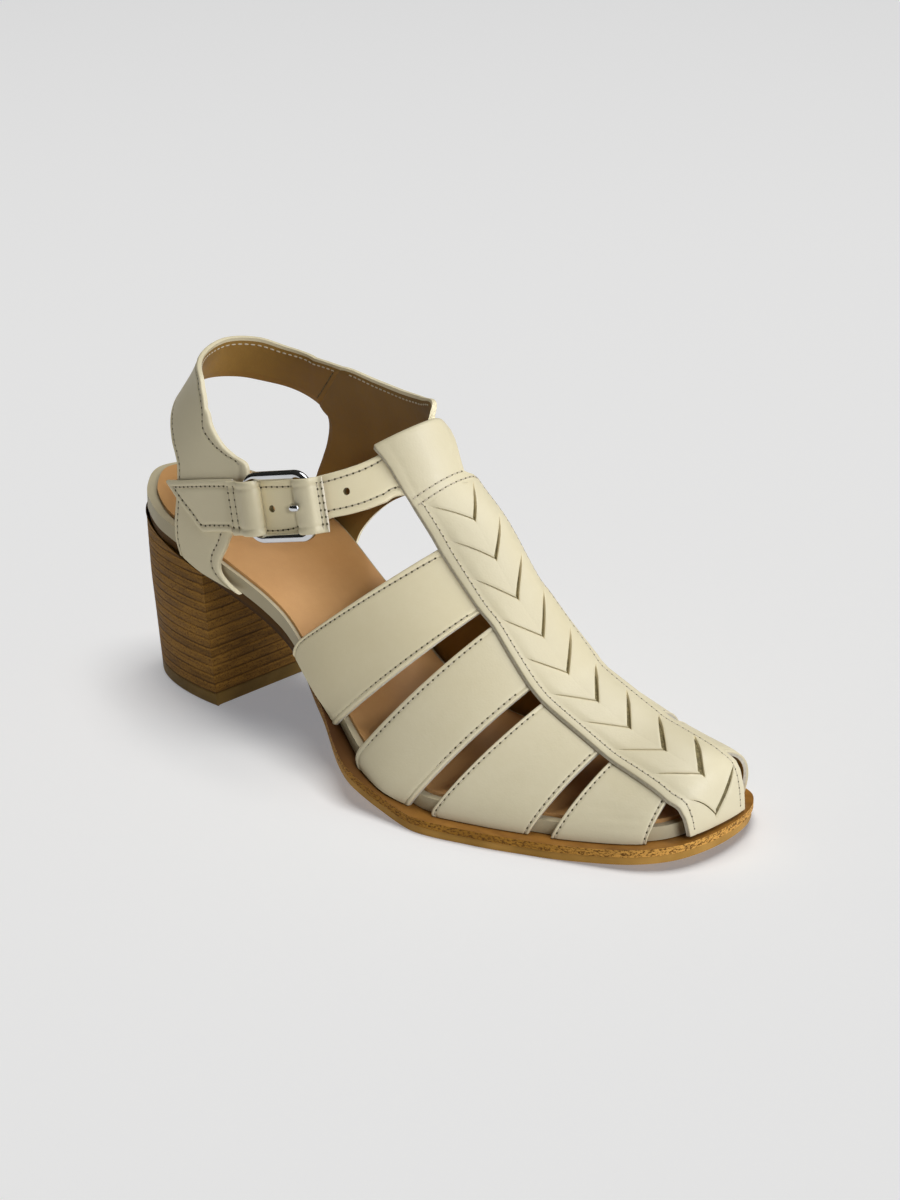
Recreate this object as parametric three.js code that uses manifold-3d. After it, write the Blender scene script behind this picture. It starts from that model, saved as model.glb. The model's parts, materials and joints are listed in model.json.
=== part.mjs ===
// Heeled fisherman sandal, right shoe: woven centre strip, four straps a side, ankle strap, block heel.
// Millimetres, X from heel to toe, +Y to the inner (big-toe) side, Z up from the floor.
import * as THREE from "three";
import { mergeVertices } from "three/addons/utils/BufferGeometryUtils.js";
import Module from "manifold-3d";

const wasm = await Module();
wasm.setup();

// Driving sizes
const LENGTH = 235.8;
const GAP = 0.3;
const WALL = 2;
const STRIP_RAISE = 1.5;
const STRIP_SINK = 1.1;
const PLAIT_STEP = 0.8;
const PLAIT_PITCH = 13.65;
const PLAIT_REACH = { outer: 19, inner: 15 };
const PLAIT_BEVEL = 0.7;
const PLAIT_APEX = -0.2;
const PLAIT_START = 19;
const PLAIT_FLAT = 16.4;
const FINE = 0.03;
const STRAP_TUCK = 4;
const OUTSOLE = 2.6;
const MIDSOLE = 3.1;
const MIDSOLE_BITE = 0.7;
const WAIST_THIN = 1.2;
const FOOTBED = 9.6;
const SOCK_INSET = 3.6;
const SOCK = 0.9;
const WAIST_INSET = 1.6;
const OUTSOLE_INSET = 0.5;
const LEDGE = 6.2;
const HEEL_LIFT = 4.6;
const HEEL_ROUND = 2;
const HEEL_INSET = 0.5;
const REACH = 150;
const SPARE = 15;
const BELOW = 30;

// A short table: one record for each row, keyed by the column names
const table = (names, ...rows) =>
  rows.map((row) => Object.fromEntries(names.split(" ").map((key, i) => [key, row[i]])));

// Outline of the shoe seen from above: rand at the heel, sole edge at the forefoot
const OUTLINE = [
  { at: 0, lateral: 0, medial: 0 },
  { at: 0.02, lateral: 10.8, medial: 12.6 },
  { at: 0.06, lateral: 20, medial: 20.6 },
  { at: 0.12, lateral: 26, medial: 25.4 },
  { at: 0.22, lateral: 27.8, medial: 25.9 },
  { at: 0.34, lateral: 26, medial: 20.4 },
  { at: 0.45, lateral: 35, medial: 18.3 },
  { at: 0.56, lateral: 46.6, medial: 23.8 },
  { at: 0.66, lateral: 46.9, medial: 33 },
  { at: 0.75, lateral: 42, medial: 39 },
  { at: 0.83, lateral: 34.9, medial: 40 },
  { at: 0.9, lateral: 28.2, medial: 37.5 },
  { at: 0.95, lateral: 22.4, medial: 32.8 },
  { at: 0.985, lateral: 13.8, medial: 22 },
  { at: 1, lateral: -3, medial: 3 },
];

// Underside of the sole seen from the side, and how far the layers stand in from the outline
const SOLE = [
  { at: 0, rise: 59, footbedInset: 0, soleInset: 1, outsole: 0.5 },
  { at: 0.1, rise: 54.6, footbedInset: 0, soleInset: 1, outsole: 0.5 },
  { at: 0.2, rise: 48.8, footbedInset: 0, soleInset: 1, outsole: 0.5 },
  { at: 0.3, rise: 40.2, footbedInset: 0, soleInset: 1, outsole: 0.6 },
  { at: 0.37, rise: 31.4, footbedInset: 0.2, soleInset: 0.7, outsole: 0.75 },
  { at: 0.44, rise: 21.4, footbedInset: 2.6, soleInset: 0.2, outsole: 0.9 },
  { at: 0.52, rise: 10.5, footbedInset: 5.6, soleInset: 0, outsole: 1 },
  { at: 0.6, rise: 3.3, footbedInset: LEDGE, soleInset: 0, outsole: 1 },
  { at: 0.67, rise: 0, footbedInset: LEDGE, soleInset: 0, outsole: 1 },
  { at: 0.83, rise: 0, footbedInset: LEDGE, soleInset: 0, outsole: 1 },
  { at: 0.9, rise: 0.9, footbedInset: LEDGE, soleInset: 0, outsole: 1 },
  { at: 1, rise: 3.6, footbedInset: LEDGE, soleInset: 0, outsole: 1 },
];

// Heel block rings from the floor up
const HEEL = [
  { height: 0, back: 2, breast: 44.6, lateral: 20.2, medial: 22 },
  { height: 20, back: 0.8, breast: 45, lateral: 22.8, medial: 22.6 },
  { height: 40, back: 0, breast: 45.8, lateral: 25.8, medial: 24 },
  { height: 70, back: 0, breast: 47, lateral: 29, medial: 26.8 },
];

// Sections of the forefoot last, from throat to toe: foot on the sole, ridge on top, strip edges across
const LAST = table(
  "key foot ridge rise swing outer inner left right",
  ["loopTop", 42, 122.5, 109.8, 1, 2.2, 1.8, -15.2, 8.5],
  ["loopEnd", 84, 130.5, 94.6, 2, 2.05, 2.8, -12.6, 11],
  ["strap1Rear", 88, 144, 83, 3, 1.8, 2.6, -12, 15],
  ["strap1Front", 115, 159, 66.4, 4.5, 1.65, 2.5, -12, 15],
  ["strap2Rear", 127, 162, 63, 5, 1.6, 2.5, -12, 15],
  ["strap2Front", 152, 177, 46.6, 5.5, 1.5, 2.3, -12, 15],
  ["strap3Rear", 160, 181, 43, 5.5, 1.5, 2.15, -12, 14.5],
  ["strap3Front", 191, 203, 34.2, 5.5, 1.5, 2.05, -12, 14.5],
  ["strap4Rear", 197.5, 207, 33, 5.5, 1.5, 1.95, -12, 14],
  ["strap4Front", 224, 227, 28.4, 5.5, 1.55, 2.05, -11, 16.5],
  ["toeBend", 225.6, 231.6, 25, 5.5, 1.6, 2.2, -10, 18.5],
  ["toeFace", 226.4, 232.8, 17, 5.5, 1.8, 2.2, -9, 19],
  ["toeFoot", 226.8, 232.6, 9.4, 5.5, 2, 2.2, -8, 19],
);

// Rings of the ankle from the heel seat to the top line
const LEG = [
  { height: 40, back: 0, front: 178, aside: 0, lateral: 30.2, medial: 28, round: 2.3 },
  { height: 60, back: -1, front: 163, aside: 0, lateral: 30.2, medial: 28, round: 2.3 },
  { height: 75, back: 1, front: 150, aside: 0, lateral: 30, medial: 27.6, round: 2.2 },
  { height: 85, back: 6.5, front: 138.5, aside: 0.5, lateral: 29.8, medial: 27, round: 2.1 },
  { height: 94, back: 12, front: 129.5, aside: 2, lateral: 29, medial: 26, round: 2 },
  { height: 102, back: 16.5, front: 124.5, aside: 3.5, lateral: 27.8, medial: 24.8, round: 1.9 },
  { height: 110, back: 20.5, front: 120, aside: 5.5, lateral: 26.6, medial: 23.6, round: 1.75 },
  { height: 120, back: 25, front: 114, aside: 7, lateral: 25, medial: 22.6, round: 1.65 },
];
const LEG_MIDDLE = 50;
const LEG_POINTS = 44;

// Cut edges of the quarters and ankle band seen from the side
const BAND_BACK = { x: -10, low: 104, high: 116.2 };
const STRAP_FRONT = { x: 145, low: 86, high: 112 };
const LATERAL = {
  rear: [[36.1, 61.2], [37.3, 70.6], [38, 84.2], [33.4, 90.4], [27.2, 95.6], [16, 101.6]],
  top: [[22, 115.9], [35, 115.4], [44.6, 113.4], [49, 108.6], [52.2, 102.6], [57.6, 97], [64, 93.6]],
  strapTop: [[70, 91], [82.5, 88.4], [92, 91], [99.2, 94.6], [106.1, 97.6], [113.8, 102.4], [120, 107]],
  strapLow: [[126, 92.4], [118.4, 88.4], [112.8, 85.4], [102.3, 81.2], [89.2, 74.6], [78.5, 71.6], [68, 69]],
  front: [[63.6, 67.6], [61.2, 62], [59, 57.2], [58.9, 53], [62.4, 49.6]],
  foot: { rear: 34.4, front: 68 },
};
const MEDIAL = {
  rear: [
    [43, 63], [47, 71.4], [52.2, 83.4], [53.4, 89], [52.6, 92.6], [49.2, 95.2], [43.2, 97.2], [36.4, 98.6],
    [16, 102],
  ],
  top: [[22, 115.9], [30, 115.2], [41, 113], [58, 111.5], [80, 111.6], [96, 113]],
  strapTop: [[109, 114.6], [118, 113.6]],
  strapLow: [[126, 90], [117, 85.4], [108, 80.6], [98, 76.4], [88, 72.4]],
  front: [[79, 67], [72, 61], [66, 54]],
  foot: { rear: 37, front: 63 },
};

// Buckle, its leather and the pointed patch, laid out on the outer side along the strap
const BUCKLE = { x: 85, z: 82.1, tilt: 13.5, long: 28, tall: 22.8, corner: 5, rod: 1.5, stand: 1.9 };
const PRONG = {
  root: 5.8, rise: 8.4, bend: 11, tip: 14.4, low: 1.7, mid: 3.9, high: 6, thick: 1.05, thin: 0.7,
};
const FOLD = { wide: 11.4, tall: 17.6, thick: 1.3, roll: 2.9, depth: 3, rear: -15, front: 14 };
const ANCHOR = {
  thick: 1.4,
  edge: [[62.6, 85.5], [66.6, 71.3], [51.9, 67.8], [34.9, 77.4], [34.3, 78.8], [36, 79.6], [50, 83.1]],
};

const leatherLook = new THREE.MeshStandardMaterial({ color: 0xe9e2d4, roughness: 0.55 });
const sockLook = new THREE.MeshStandardMaterial({ color: 0xb98d5f, roughness: 0.6 });
const stackLook = new THREE.MeshStandardMaterial({ color: 0x7a4f31, roughness: 0.6 });
const gumLook = new THREE.MeshStandardMaterial({ color: 0x6b5736, roughness: 0.7 });
const metalLook = new THREE.MeshStandardMaterial({ color: 0xd0d2d4, roughness: 0.2, metalness: 1 });

// Reads one column of a table as a smooth curve that never overshoots its rows
function curve(rows, key, value, warp = (a) => a) {
  const xs = rows.map((row) => warp(row[key]));
  const ys = rows.map((row) => row[value]);
  const last = xs.length - 1;
  const rises = ys.slice(1).map((y, i) => (y - ys[i]) / (xs[i + 1] - xs[i]));
  const slopes = ys.map((_, i) => {
    if (i === 0) return rises[0];
    if (i === last) return rises[last - 1];
    const [before, after] = [rises[i - 1], rises[i]];
    if (before * after <= 0) return 0;
    const [near, far] = [xs[i] - xs[i - 1], xs[i + 1] - xs[i]];
    return (3 * (near + far)) / ((2 * far + near) / before + (far + 2 * near) / after);
  });
  return (at) => {
    const x = THREE.MathUtils.clamp(warp(at), xs[0], xs[last]);
    let i = 0;
    while (i < last - 1 && x > xs[i + 1]) i += 1;
    const step = xs[i + 1] - xs[i];
    const t = (x - xs[i]) / step;
    const [t2, t3] = [t * t, t * t * t];
    const start = (2 * t3 - 3 * t2 + 1) * ys[i] + (t3 - 2 * t2 + t) * step * slopes[i];
    return start + (3 * t2 - 2 * t3) * ys[i + 1] + (t3 - t2) * step * slopes[i + 1];
  };
}

// Closed geometry to solid and back
function solid(geometry) {
  const bare = geometry.clone();
  bare.deleteAttribute("normal");
  bare.deleteAttribute("uv");
  const merged = mergeVertices(bare, 1e-4);
  return new wasm.Manifold(
    new wasm.Mesh({
      numProp: 3,
      vertProperties: new Float32Array(merged.attributes.position.array),
      triVerts: new Uint32Array(merged.index.array),
    }),
  );
}

function node(name, shape, look) {
  const data = shape.getMesh();
  const geometry = new THREE.BufferGeometry();
  geometry.setAttribute("position", new THREE.BufferAttribute(new Float32Array(data.vertProperties), 3));
  geometry.setIndex(new THREE.BufferAttribute(new Uint32Array(data.triVerts), 1));
  geometry.computeVertexNormals();
  const mesh = new THREE.Mesh(geometry, look);
  mesh.name = name;
  return mesh;
}

function indexed(vertices, faces) {
  const geometry = new THREE.BufferGeometry();
  const flat = vertices.flatMap((p) => [p.x, p.y, p.z]);
  geometry.setAttribute("position", new THREE.Float32BufferAttribute(flat, 3));
  geometry.setIndex(faces);
  return geometry;
}

// Solid between closed rings of equal count, flat or bent ends closed by a fan
function loft(rings) {
  const count = rings[0].length;
  const vertices = rings.flat();
  const faces = [];
  for (let r = 0; r < rings.length - 1; r += 1) {
    for (let i = 0; i < count; i += 1) {
      const next = (i + 1) % count;
      const [a, b] = [r * count + i, r * count + next];
      faces.push(a, b, b + count, a, b + count, a + count);
    }
  }
  const top = (rings.length - 1) * count;
  for (let i = 1; i < count - 1; i += 1) faces.push(0, i + 1, i, top, top + i, top + i + 1);
  return solid(indexed(vertices, faces));
}

// Leather wall over a grid of surface points, from the inner depth to the outer depth
function wall(grid, inner, outer) {
  const [rows, columns] = [grid.length, grid[0].length];
  const at = (i, j) => i * columns + j;
  const under = rows * columns;
  const lay = (depth) => grid.flatMap((row, i) =>
    row.map((spot, j) => spot.point.clone().addScaledVector(spot.normal, depth(i, j))));
  const vertices = [...lay(outer), ...lay(inner)];
  const faces = [];
  const quad = (a, b, c, d) => faces.push(a, b, c, a, c, d);
  for (let i = 0; i < rows - 1; i += 1) {
    for (let j = 0; j < columns - 1; j += 1) {
      const [a, b, c, d] = [at(i, j), at(i + 1, j), at(i + 1, j + 1), at(i, j + 1)];
      quad(a, b, c, d);
      quad(under + a, under + d, under + c, under + b);
    }
  }
  const rim = [];
  for (let j = 0; j < columns - 1; j += 1) rim.push(at(0, j));
  for (let i = 0; i < rows - 1; i += 1) rim.push(at(i, columns - 1));
  for (let j = columns - 1; j > 0; j -= 1) rim.push(at(rows - 1, j));
  for (let i = rows - 1; i > 0; i -= 1) rim.push(at(i, 0));
  rim.forEach((a, k) => {
    const b = rim[(k + 1) % rim.length];
    quad(a, b, under + b, under + a);
  });
  return solid(indexed(vertices, faces));
}

// Outline of the shoe in plan, stood out or in along its own normal
const roundEnds = (share) => Math.acos(1 - 2 * THREE.MathUtils.clamp(share, 0, 1));
const lateralWidth = curve(OUTLINE, "at", "lateral", roundEnds);
const medialWidth = curve(OUTLINE, "at", "medial", roundEnds);
const OUTLINE_STEPS = 30;

function outline(shift) {
  const share = (i) => (1 - Math.cos((Math.PI * i) / OUTLINE_STEPS)) / 2;
  const points = [];
  for (let i = 0; i <= OUTLINE_STEPS; i += 1) {
    points.push({ at: share(i), spot: new THREE.Vector2(share(i) * LENGTH, -lateralWidth(share(i))) });
  }
  for (let i = OUTLINE_STEPS - 1; i > 0; i -= 1) {
    points.push({ at: share(i), spot: new THREE.Vector2(share(i) * LENGTH, medialWidth(share(i))) });
  }
  return points.map(({ at, spot }, i) => {
    const before = points.at(i - 1).spot;
    const after = points[(i + 1) % points.length].spot;
    const along = after.clone().sub(before).normalize();
    return spot.clone().add(new THREE.Vector2(along.y, -along.x).multiplyScalar(shift(at)));
  });
}

// Side profile of the sole
const rise = curve(SOLE, "at", "rise");
const footbedInset = curve(SOLE, "at", "footbedInset");
const soleInset = curve(SOLE, "at", "soleInset");
const outsoleShare = curve(SOLE, "at", "outsole");
const under = (x) => rise(x / LENGTH);
const midsoleLow = (x) => under(x) + OUTSOLE * outsoleShare(x / LENGTH);
const midsoleTop = (x) =>
  under(x) + OUTSOLE * MIDSOLE_BITE + MIDSOLE - (1 - outsoleShare(x / LENGTH)) * WAIST_THIN;
const footbedTop = (x) => under(x) + FOOTBED;

// Stands a side-view shape across the shoe between two Y values
function sideCut(points, from, to) {
  const shape = new THREE.Shape(points.map(([x, z]) => new THREE.Vector2(x, z)));
  const block = new THREE.ExtrudeGeometry(shape, { depth: to - from, bevelEnabled: false });
  block.rotateX(Math.PI / 2);
  block.translate(0, to, 0);
  return solid(block);
}

const PROFILE_STEPS = 40;
function profile(low, high, from, to) {
  const station = (_, i) => from + ((to - from) * i) / PROFILE_STEPS;
  const stations = Array.from({ length: PROFILE_STEPS + 1 }, station);
  const bottom = stations.map((x) => [x, low(x)]);
  const top = stations.map((x) => [x, high(x)]).reverse();
  return sideCut([...bottom, ...top], -REACH, REACH);
}

// Plate with the plan of an outline and the side profile of a layer
function plate(shift, low, high, from = -SPARE, to = LENGTH + SPARE) {
  const shape = new THREE.Shape(outline(shift));
  const plan = new THREE.ExtrudeGeometry(shape, { depth: REACH, bevelEnabled: false });
  plan.translate(0, 0, -BELOW);
  return solid(plan).intersect(profile(low, high, from, to));
}

// Heel block: flat breast, round back, drawn in towards the floor
const HEEL_ARC = 14;
function heelRing(height) {
  const [back, breast] = ["back", "breast"].map((key) => curve(HEEL, "height", key)(height));
  const [lateral, medial] = ["lateral", "medial"].map((key) => curve(HEEL, "height", key)(height));
  const ring = [];
  for (let i = -HEEL_ARC; i <= HEEL_ARC; i += 1) {
    const turn = ((1 - Math.abs(i) / HEEL_ARC) * Math.PI) / 2;
    const wide = Math.cos(turn) ** (2 / HEEL_ROUND) * (i < 0 ? -lateral : medial);
    ring.push(new THREE.Vector3(breast - (breast - back) * Math.sin(turn) ** (2 / HEEL_ROUND), wide, height));
  }
  return ring.reverse();
}
const heelBlock = (heights) => loft(heights.map(heelRing));

// Surface of the forefoot last: u counts the rows of its table, v runs from outer feather to inner feather
LAST.forEach((row, i) => { row.u = i; });
const rowOf = (key) => LAST.findIndex((row) => row.key === key);
const LAST_KEYS = ["foot", "ridge", "rise", "swing", "outer", "inner", "left", "right"];
const last = Object.fromEntries(LAST_KEYS.map((key) => [key, curve(LAST, "u", key)]));
const feather = outline((at) => WALL + GAP - footbedInset(at));

function featherY(x, side) {
  const half = feather.length / 2;
  const line = side < 0 ? feather.slice(0, half + 1) : [...feather.slice(half), feather[0]].reverse();
  const k = Math.max(1, line.findIndex((p) => p.x >= x));
  const t = (x - line[k - 1].x) / (line[k].x - line[k - 1].x);
  return THREE.MathUtils.lerp(line[k - 1].y, line[k].y, t);
}

function lastPoint(u, v) {
  const side = Math.sign(v) || 1;
  const full = side < 0 ? last.outer(u) : last.inner(u);
  const turn = ((1 - Math.abs(v)) * Math.PI) / 2;
  const out = Math.cos(turn) ** (2 / full);
  const up = Math.sin(turn) ** (2 / full);
  const foot = last.foot(u);
  const floor = midsoleTop(foot) + GAP;
  return new THREE.Vector3(
    foot + (last.ridge(u) - foot) * up,
    last.swing(u) + (featherY(foot, side) - last.swing(u)) * out,
    floor + (last.rise(u) - floor) * up,
  );
}

function lastSpot(u, v) {
  const step = 0.02;
  const span = (a, b) => new THREE.Vector3().subVectors(b, a);
  const ahead = span(lastPoint(u - step, v), lastPoint(u + step, v));
  const lean = THREE.MathUtils.clamp(v, -1 + 2 * step, 1 - 2 * step);
  const across = span(lastPoint(u, lean - step), lastPoint(u, lean + step));
  return { point: lastPoint(u, v), normal: ahead.cross(across).normalize() };
}

// The v of the last where its section passes a given Y
function vAt(u, y) {
  const side = y < last.swing(u) ? -1 : 1;
  const full = side < 0 ? last.outer(u) : last.inner(u);
  const share = Math.abs((y - last.swing(u)) / (featherY(last.foot(u), side) - last.swing(u)));
  const turn = Math.acos(THREE.MathUtils.clamp(share, 0, 1) ** (full / 2));
  return side * (1 - turn / (Math.PI / 2));
}

// One side strap between two rows of the last
const STRAP_COLUMNS = 12;
const STRAP_ROWS = 4;
function strap(rear, front, side) {
  const grid = [];
  for (let i = 0; i <= STRAP_ROWS; i += 1) {
    const u = THREE.MathUtils.lerp(rowOf(rear), rowOf(front), i / STRAP_ROWS);
    const edge = side < 0 ? last.left(u) + STRAP_TUCK : last.right(u) - STRAP_TUCK;
    const [from, to] = side < 0 ? [-1, vAt(u, edge)] : [vAt(u, edge), 1];
    grid.push(Array.from({ length: STRAP_COLUMNS + 1 }, (_, j) =>
      lastSpot(u, THREE.MathUtils.lerp(from, to, j / STRAP_COLUMNS))));
  }
  return wall(grid, () => -WALL, () => 0);
}

// Centre strip: plaits in a row of chevrons that point to the toe, each rising to its own front edge
const STRIP_COLUMNS = 10;
const STRIP_SAMPLES = 240;
function stripLength() {
  const marks = [];
  let run = 0;
  let before = lastPoint(0, 0);
  for (let i = 0; i <= STRIP_SAMPLES; i += 1) {
    const u = ((LAST.length - 1) * i) / STRIP_SAMPLES;
    const here = lastPoint(u, 0);
    run += here.distanceTo(before);
    marks.push({ u, run });
    before = here;
  }
  return marks;
}

// Rows of the strip: straight across the loop, then bent into the chevrons
const PLAIT_FORM = table("at lift", [0.4, 0.7], [0.7, 1], [1, 1]);
function stripRows(total) {
  const first = PLAIT_START + PLAIT_PITCH;
  const bend = (run) => THREE.MathUtils.clamp((run - PLAIT_FLAT) / (first - PLAIT_FLAT), 0, 1);
  const row = (run, lift) => ({ run, lift: lift * PLAIT_STEP, bend: bend(run) });
  const rows = [row(0, 0), row(PLAIT_FLAT / 2, 0), row(PLAIT_FLAT, 0)];
  const count = Math.floor((total - PLAIT_START) / PLAIT_PITCH);
  for (let k = 0; k < count; k += 1) {
    const from = PLAIT_START + k * PLAIT_PITCH;
    rows.push(row(from + PLAIT_BEVEL, 0));
    PLAIT_FORM.forEach(({ at, lift }) => rows.push(row(from + PLAIT_PITCH * at, lift)));
  }
  const end = PLAIT_START + count * PLAIT_PITCH + PLAIT_BEVEL;
  rows.push(row(end, 0), { run: (end + total) / 2, lift: 0, bend: 1 / 2 }, { run: total, lift: 0, bend: 0 });
  return rows;
}

function strip() {
  const marks = stripLength();
  const rows = stripRows(marks.at(-1).run);
  const uAt = curve(marks, "run", "u");
  const middle = STRIP_COLUMNS / 2;
  const across = (j) => j < middle
    ? THREE.MathUtils.lerp(-1, PLAIT_APEX, j / middle)
    : THREE.MathUtils.lerp(PLAIT_APEX, 1, j / middle - 1);
  const grid = rows.map((row) => Array.from({ length: STRIP_COLUMNS + 1 }, (_, j) => {
    const w = across(j);
    const reach = w < PLAIT_APEX ? PLAIT_REACH.outer : PLAIT_REACH.inner;
    const u = uAt(row.run - row.bend * reach * Math.abs(w - PLAIT_APEX));
    const y = THREE.MathUtils.lerp(last.left(u), last.right(u), (w + 1) / 2);
    return lastSpot(u, vAt(u, y));
  }));
  return wall(grid, () => -STRIP_SINK, (i) => STRIP_RAISE + rows[i].lift);
}

// Ankle rings, grown outwards from their table
const leg = Object.fromEntries(
  ["back", "front", "aside", "lateral", "medial", "round"].map((key) => [key, curve(LEG, "height", key)]));

function legRing(height, grow) {
  return Array.from({ length: LEG_POINTS }, (_, i) => {
    const turn = (2 * Math.PI * i) / LEG_POINTS;
    const [c, s] = [Math.cos(turn), Math.sin(turn)];
    const power = c < 0 ? 2 / leg.round(height) : 1;
    const reach = (c < 0 ? LEG_MIDDLE - leg.back(height) : leg.front(height) - LEG_MIDDLE) + grow;
    const wide = (s < 0 ? leg.lateral(height) : leg.medial(height)) + grow;
    return new THREE.Vector3(
      LEG_MIDDLE + Math.sign(c) * Math.abs(c) ** power * reach,
      Math.sign(s) * Math.abs(s) ** power * wide + Math.max(0, -c) * leg.aside(height),
      height,
    );
  });
}
const LEG_LEVELS = [40, 50, 60, 68, 76, 84, 90, 96, 102, 108, 114, 120];
const legForm = (grow) => loft(LEG_LEVELS.map((height) => legRing(height, grow)));

function legWidth(x, z) {
  const reach = x < LEG_MIDDLE ? LEG_MIDDLE - leg.back(z) : leg.front(z) - LEG_MIDDLE;
  const power = x < LEG_MIDDLE ? leg.round(z) : 2;
  return leg.lateral(z) * (1 - Math.abs((x - LEG_MIDDLE) / reach) ** power) ** (1 / power);
}

// Side-view cut of one quarter with its part of the ankle band and strap
const CUT_STEPS = 6;
function smooth(points) {
  const line = new THREE.SplineCurve(points.map(([x, z]) => new THREE.Vector2(x, z)));
  return line.getPoints(points.length * CUT_STEPS / 2).map((p) => [p.x, p.y]);
}

function quarterCut(cut) {
  const foot = [];
  const strapEnd = (edge) => [STRAP_FRONT.x, STRAP_FRONT[edge]];
  for (let i = 0; i <= CUT_STEPS; i += 1) {
    const x = THREE.MathUtils.lerp(cut.foot.front, cut.foot.rear, i / CUT_STEPS);
    foot.push([x, midsoleTop(x) + GAP]);
  }
  return [
    ...foot,
    ...smooth([...cut.rear, [BAND_BACK.x, BAND_BACK.low]]),
    ...smooth([[BAND_BACK.x, BAND_BACK.high], ...cut.top, ...cut.strapTop, strapEnd("high")]),
    ...smooth([strapEnd("low"), ...cut.strapLow, ...cut.front]),
  ].reverse();
}

function quarters() {
  const shell = legForm(0).subtract(legForm(-WALL));
  const outer = shell.intersect(sideCut(quarterCut(LATERAL), -REACH, 0));
  const inner = shell.intersect(sideCut(quarterCut(MEDIAL), 0, REACH));
  return outer.add(inner);
}

// Whole upper: straps, strip, quarters and ankle strap in one leather wall, clear of the sole
const STRAPS = [
  ["strap1Rear", "strap1Front"],
  ["strap2Rear", "strap2Front"],
  ["strap3Rear", "strap3Front"],
  ["strap4Rear", "strap4Front"],
];
function upper() {
  const sides = STRAPS.flatMap(([rear, front]) => [strap(rear, front, -1), strap(rear, front, 1)]);
  const whole = [strip(), quarters(), ...sides].reduce((sum, piece) => sum.add(piece));
  const bed = plate((at) => GAP - footbedInset(at), () => -BELOW, (x) => footbedTop(x) + GAP);
  const base = plate((at) => GAP - soleInset(at), () => -BELOW, (x) => midsoleTop(x) + GAP);
  return whole.subtract(bed).subtract(base).simplify(FINE);
}

// Frame on the outer side of the ankle: X along the strap, Y up across it, Z out of the leather
function onStrap(x, z) {
  const step = 0.5;
  const spot = (a, b) => new THREE.Vector3(a, -legWidth(a, b), b);
  const climb = step * Math.tan(THREE.MathUtils.degToRad(BUCKLE.tilt));
  const ahead = spot(x + step, z + climb).sub(spot(x - step, z - climb)).normalize();
  const above = spot(x, z + step).sub(spot(x, z - step));
  const out = ahead.clone().cross(above).normalize();
  const frame = new THREE.Matrix4().makeBasis(ahead, out.clone().cross(ahead), out);
  return frame.setPosition(spot(x, z));
}

// Round bar swept along a closed or open path in a flat plane
const ROD_SIDES = 10;
function bar(path, radius, closed) {
  const rings = path.map((here, i) => {
    const before = path[closed ? (i + path.length - 1) % path.length : Math.max(0, i - 1)];
    const after = path[closed ? (i + 1) % path.length : Math.min(path.length - 1, i + 1)];
    const ahead = after.clone().sub(before).normalize();
    const flat = new THREE.Vector3(0, 0, 1);
    const aside = flat.clone().cross(ahead).normalize();
    const lift = ahead.clone().cross(aside);
    return Array.from({ length: ROD_SIDES }, (_, k) => {
      const turn = (2 * Math.PI * k) / ROD_SIDES;
      const size = typeof radius === "number" ? radius : radius(i / (path.length - 1));
      const rim = here.clone().addScaledVector(aside, size * Math.cos(turn));
      return rim.addScaledVector(lift, size * Math.sin(turn));
    });
  });
  if (!closed) return loft(rings);
  const vertices = rings.flat();
  const faces = [];
  rings.forEach((_, r) => {
    const ahead = ((r + 1) % rings.length) * ROD_SIDES;
    for (let k = 0; k < ROD_SIDES; k += 1) {
      const next = (k + 1) % ROD_SIDES;
      const [a, b] = [r * ROD_SIDES + k, r * ROD_SIDES + next];
      faces.push(a, b, ahead + next, a, ahead + next, ahead + k);
    }
  });
  return solid(indexed(vertices, faces));
}

const CORNER_STEPS = 5;
function framePath() {
  const [long, tall] = [BUCKLE.long, BUCKLE.tall].map((size) => size / 2 - BUCKLE.rod - BUCKLE.corner);
  const path = [];
  [[1, 1, 0], [-1, 1, 90], [-1, -1, 180], [1, -1, 270]].forEach(([sx, sy, start]) => {
    for (let i = 0; i <= CORNER_STEPS; i += 1) {
      const turn = THREE.MathUtils.degToRad(start + (90 * i) / CORNER_STEPS);
      const spot = new THREE.Vector3(Math.cos(turn), Math.sin(turn), 0).multiplyScalar(BUCKLE.corner);
      path.push(spot.add(new THREE.Vector3(sx * long, sy * tall, BUCKLE.stand)));
    }
  });
  return path;
}

// Leather folded over a side bar of the frame, its back face laid on the ankle
const FOLD_STEPS = 10;
function fold(centre, barAt, grow = 0) {
  const half = FOLD.wide / 2 + grow;
  const roof = [];
  for (let i = 0; i <= FOLD_STEPS; i += 1) {
    const x = centre - half + (2 * half * i) / FOLD_STEPS;
    const hump = Math.max(0, 1 - Math.abs(x - barAt) / (FOLD.roll * 2));
    roof.push(new THREE.Vector2(x, FOLD.thick + GAP + FOLD.roll * Math.sin((hump * Math.PI) / 2)));
  }
  const floor = [centre - half, centre + half].map((x) => new THREE.Vector2(x, -FOLD.depth));
  const shape = new THREE.Shape([...floor, ...roof.reverse()]);
  const block = new THREE.ExtrudeGeometry(shape, { depth: FOLD.tall, bevelEnabled: false });
  block.rotateX(Math.PI / 2);
  block.translate(0, FOLD.tall / 2, 0);
  return solid(block);
}

function prongPath() {
  const path = new THREE.CatmullRomCurve3([
    new THREE.Vector3(PRONG.root, 0, PRONG.low),
    new THREE.Vector3(PRONG.rise, 0, PRONG.mid),
    new THREE.Vector3(PRONG.bend, 0, PRONG.high),
    new THREE.Vector3(PRONG.tip, 0, PRONG.high),
  ]);
  return path.getPoints(FOLD_STEPS);
}
const prongSize = (t) => THREE.MathUtils.lerp(PRONG.thick, PRONG.thin, t);
const prong = (grow) => bar(prongPath(), (t) => prongSize(t) + grow, false);
const frameRod = (grow) => bar(framePath(), BUCKLE.rod + grow, true);

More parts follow.
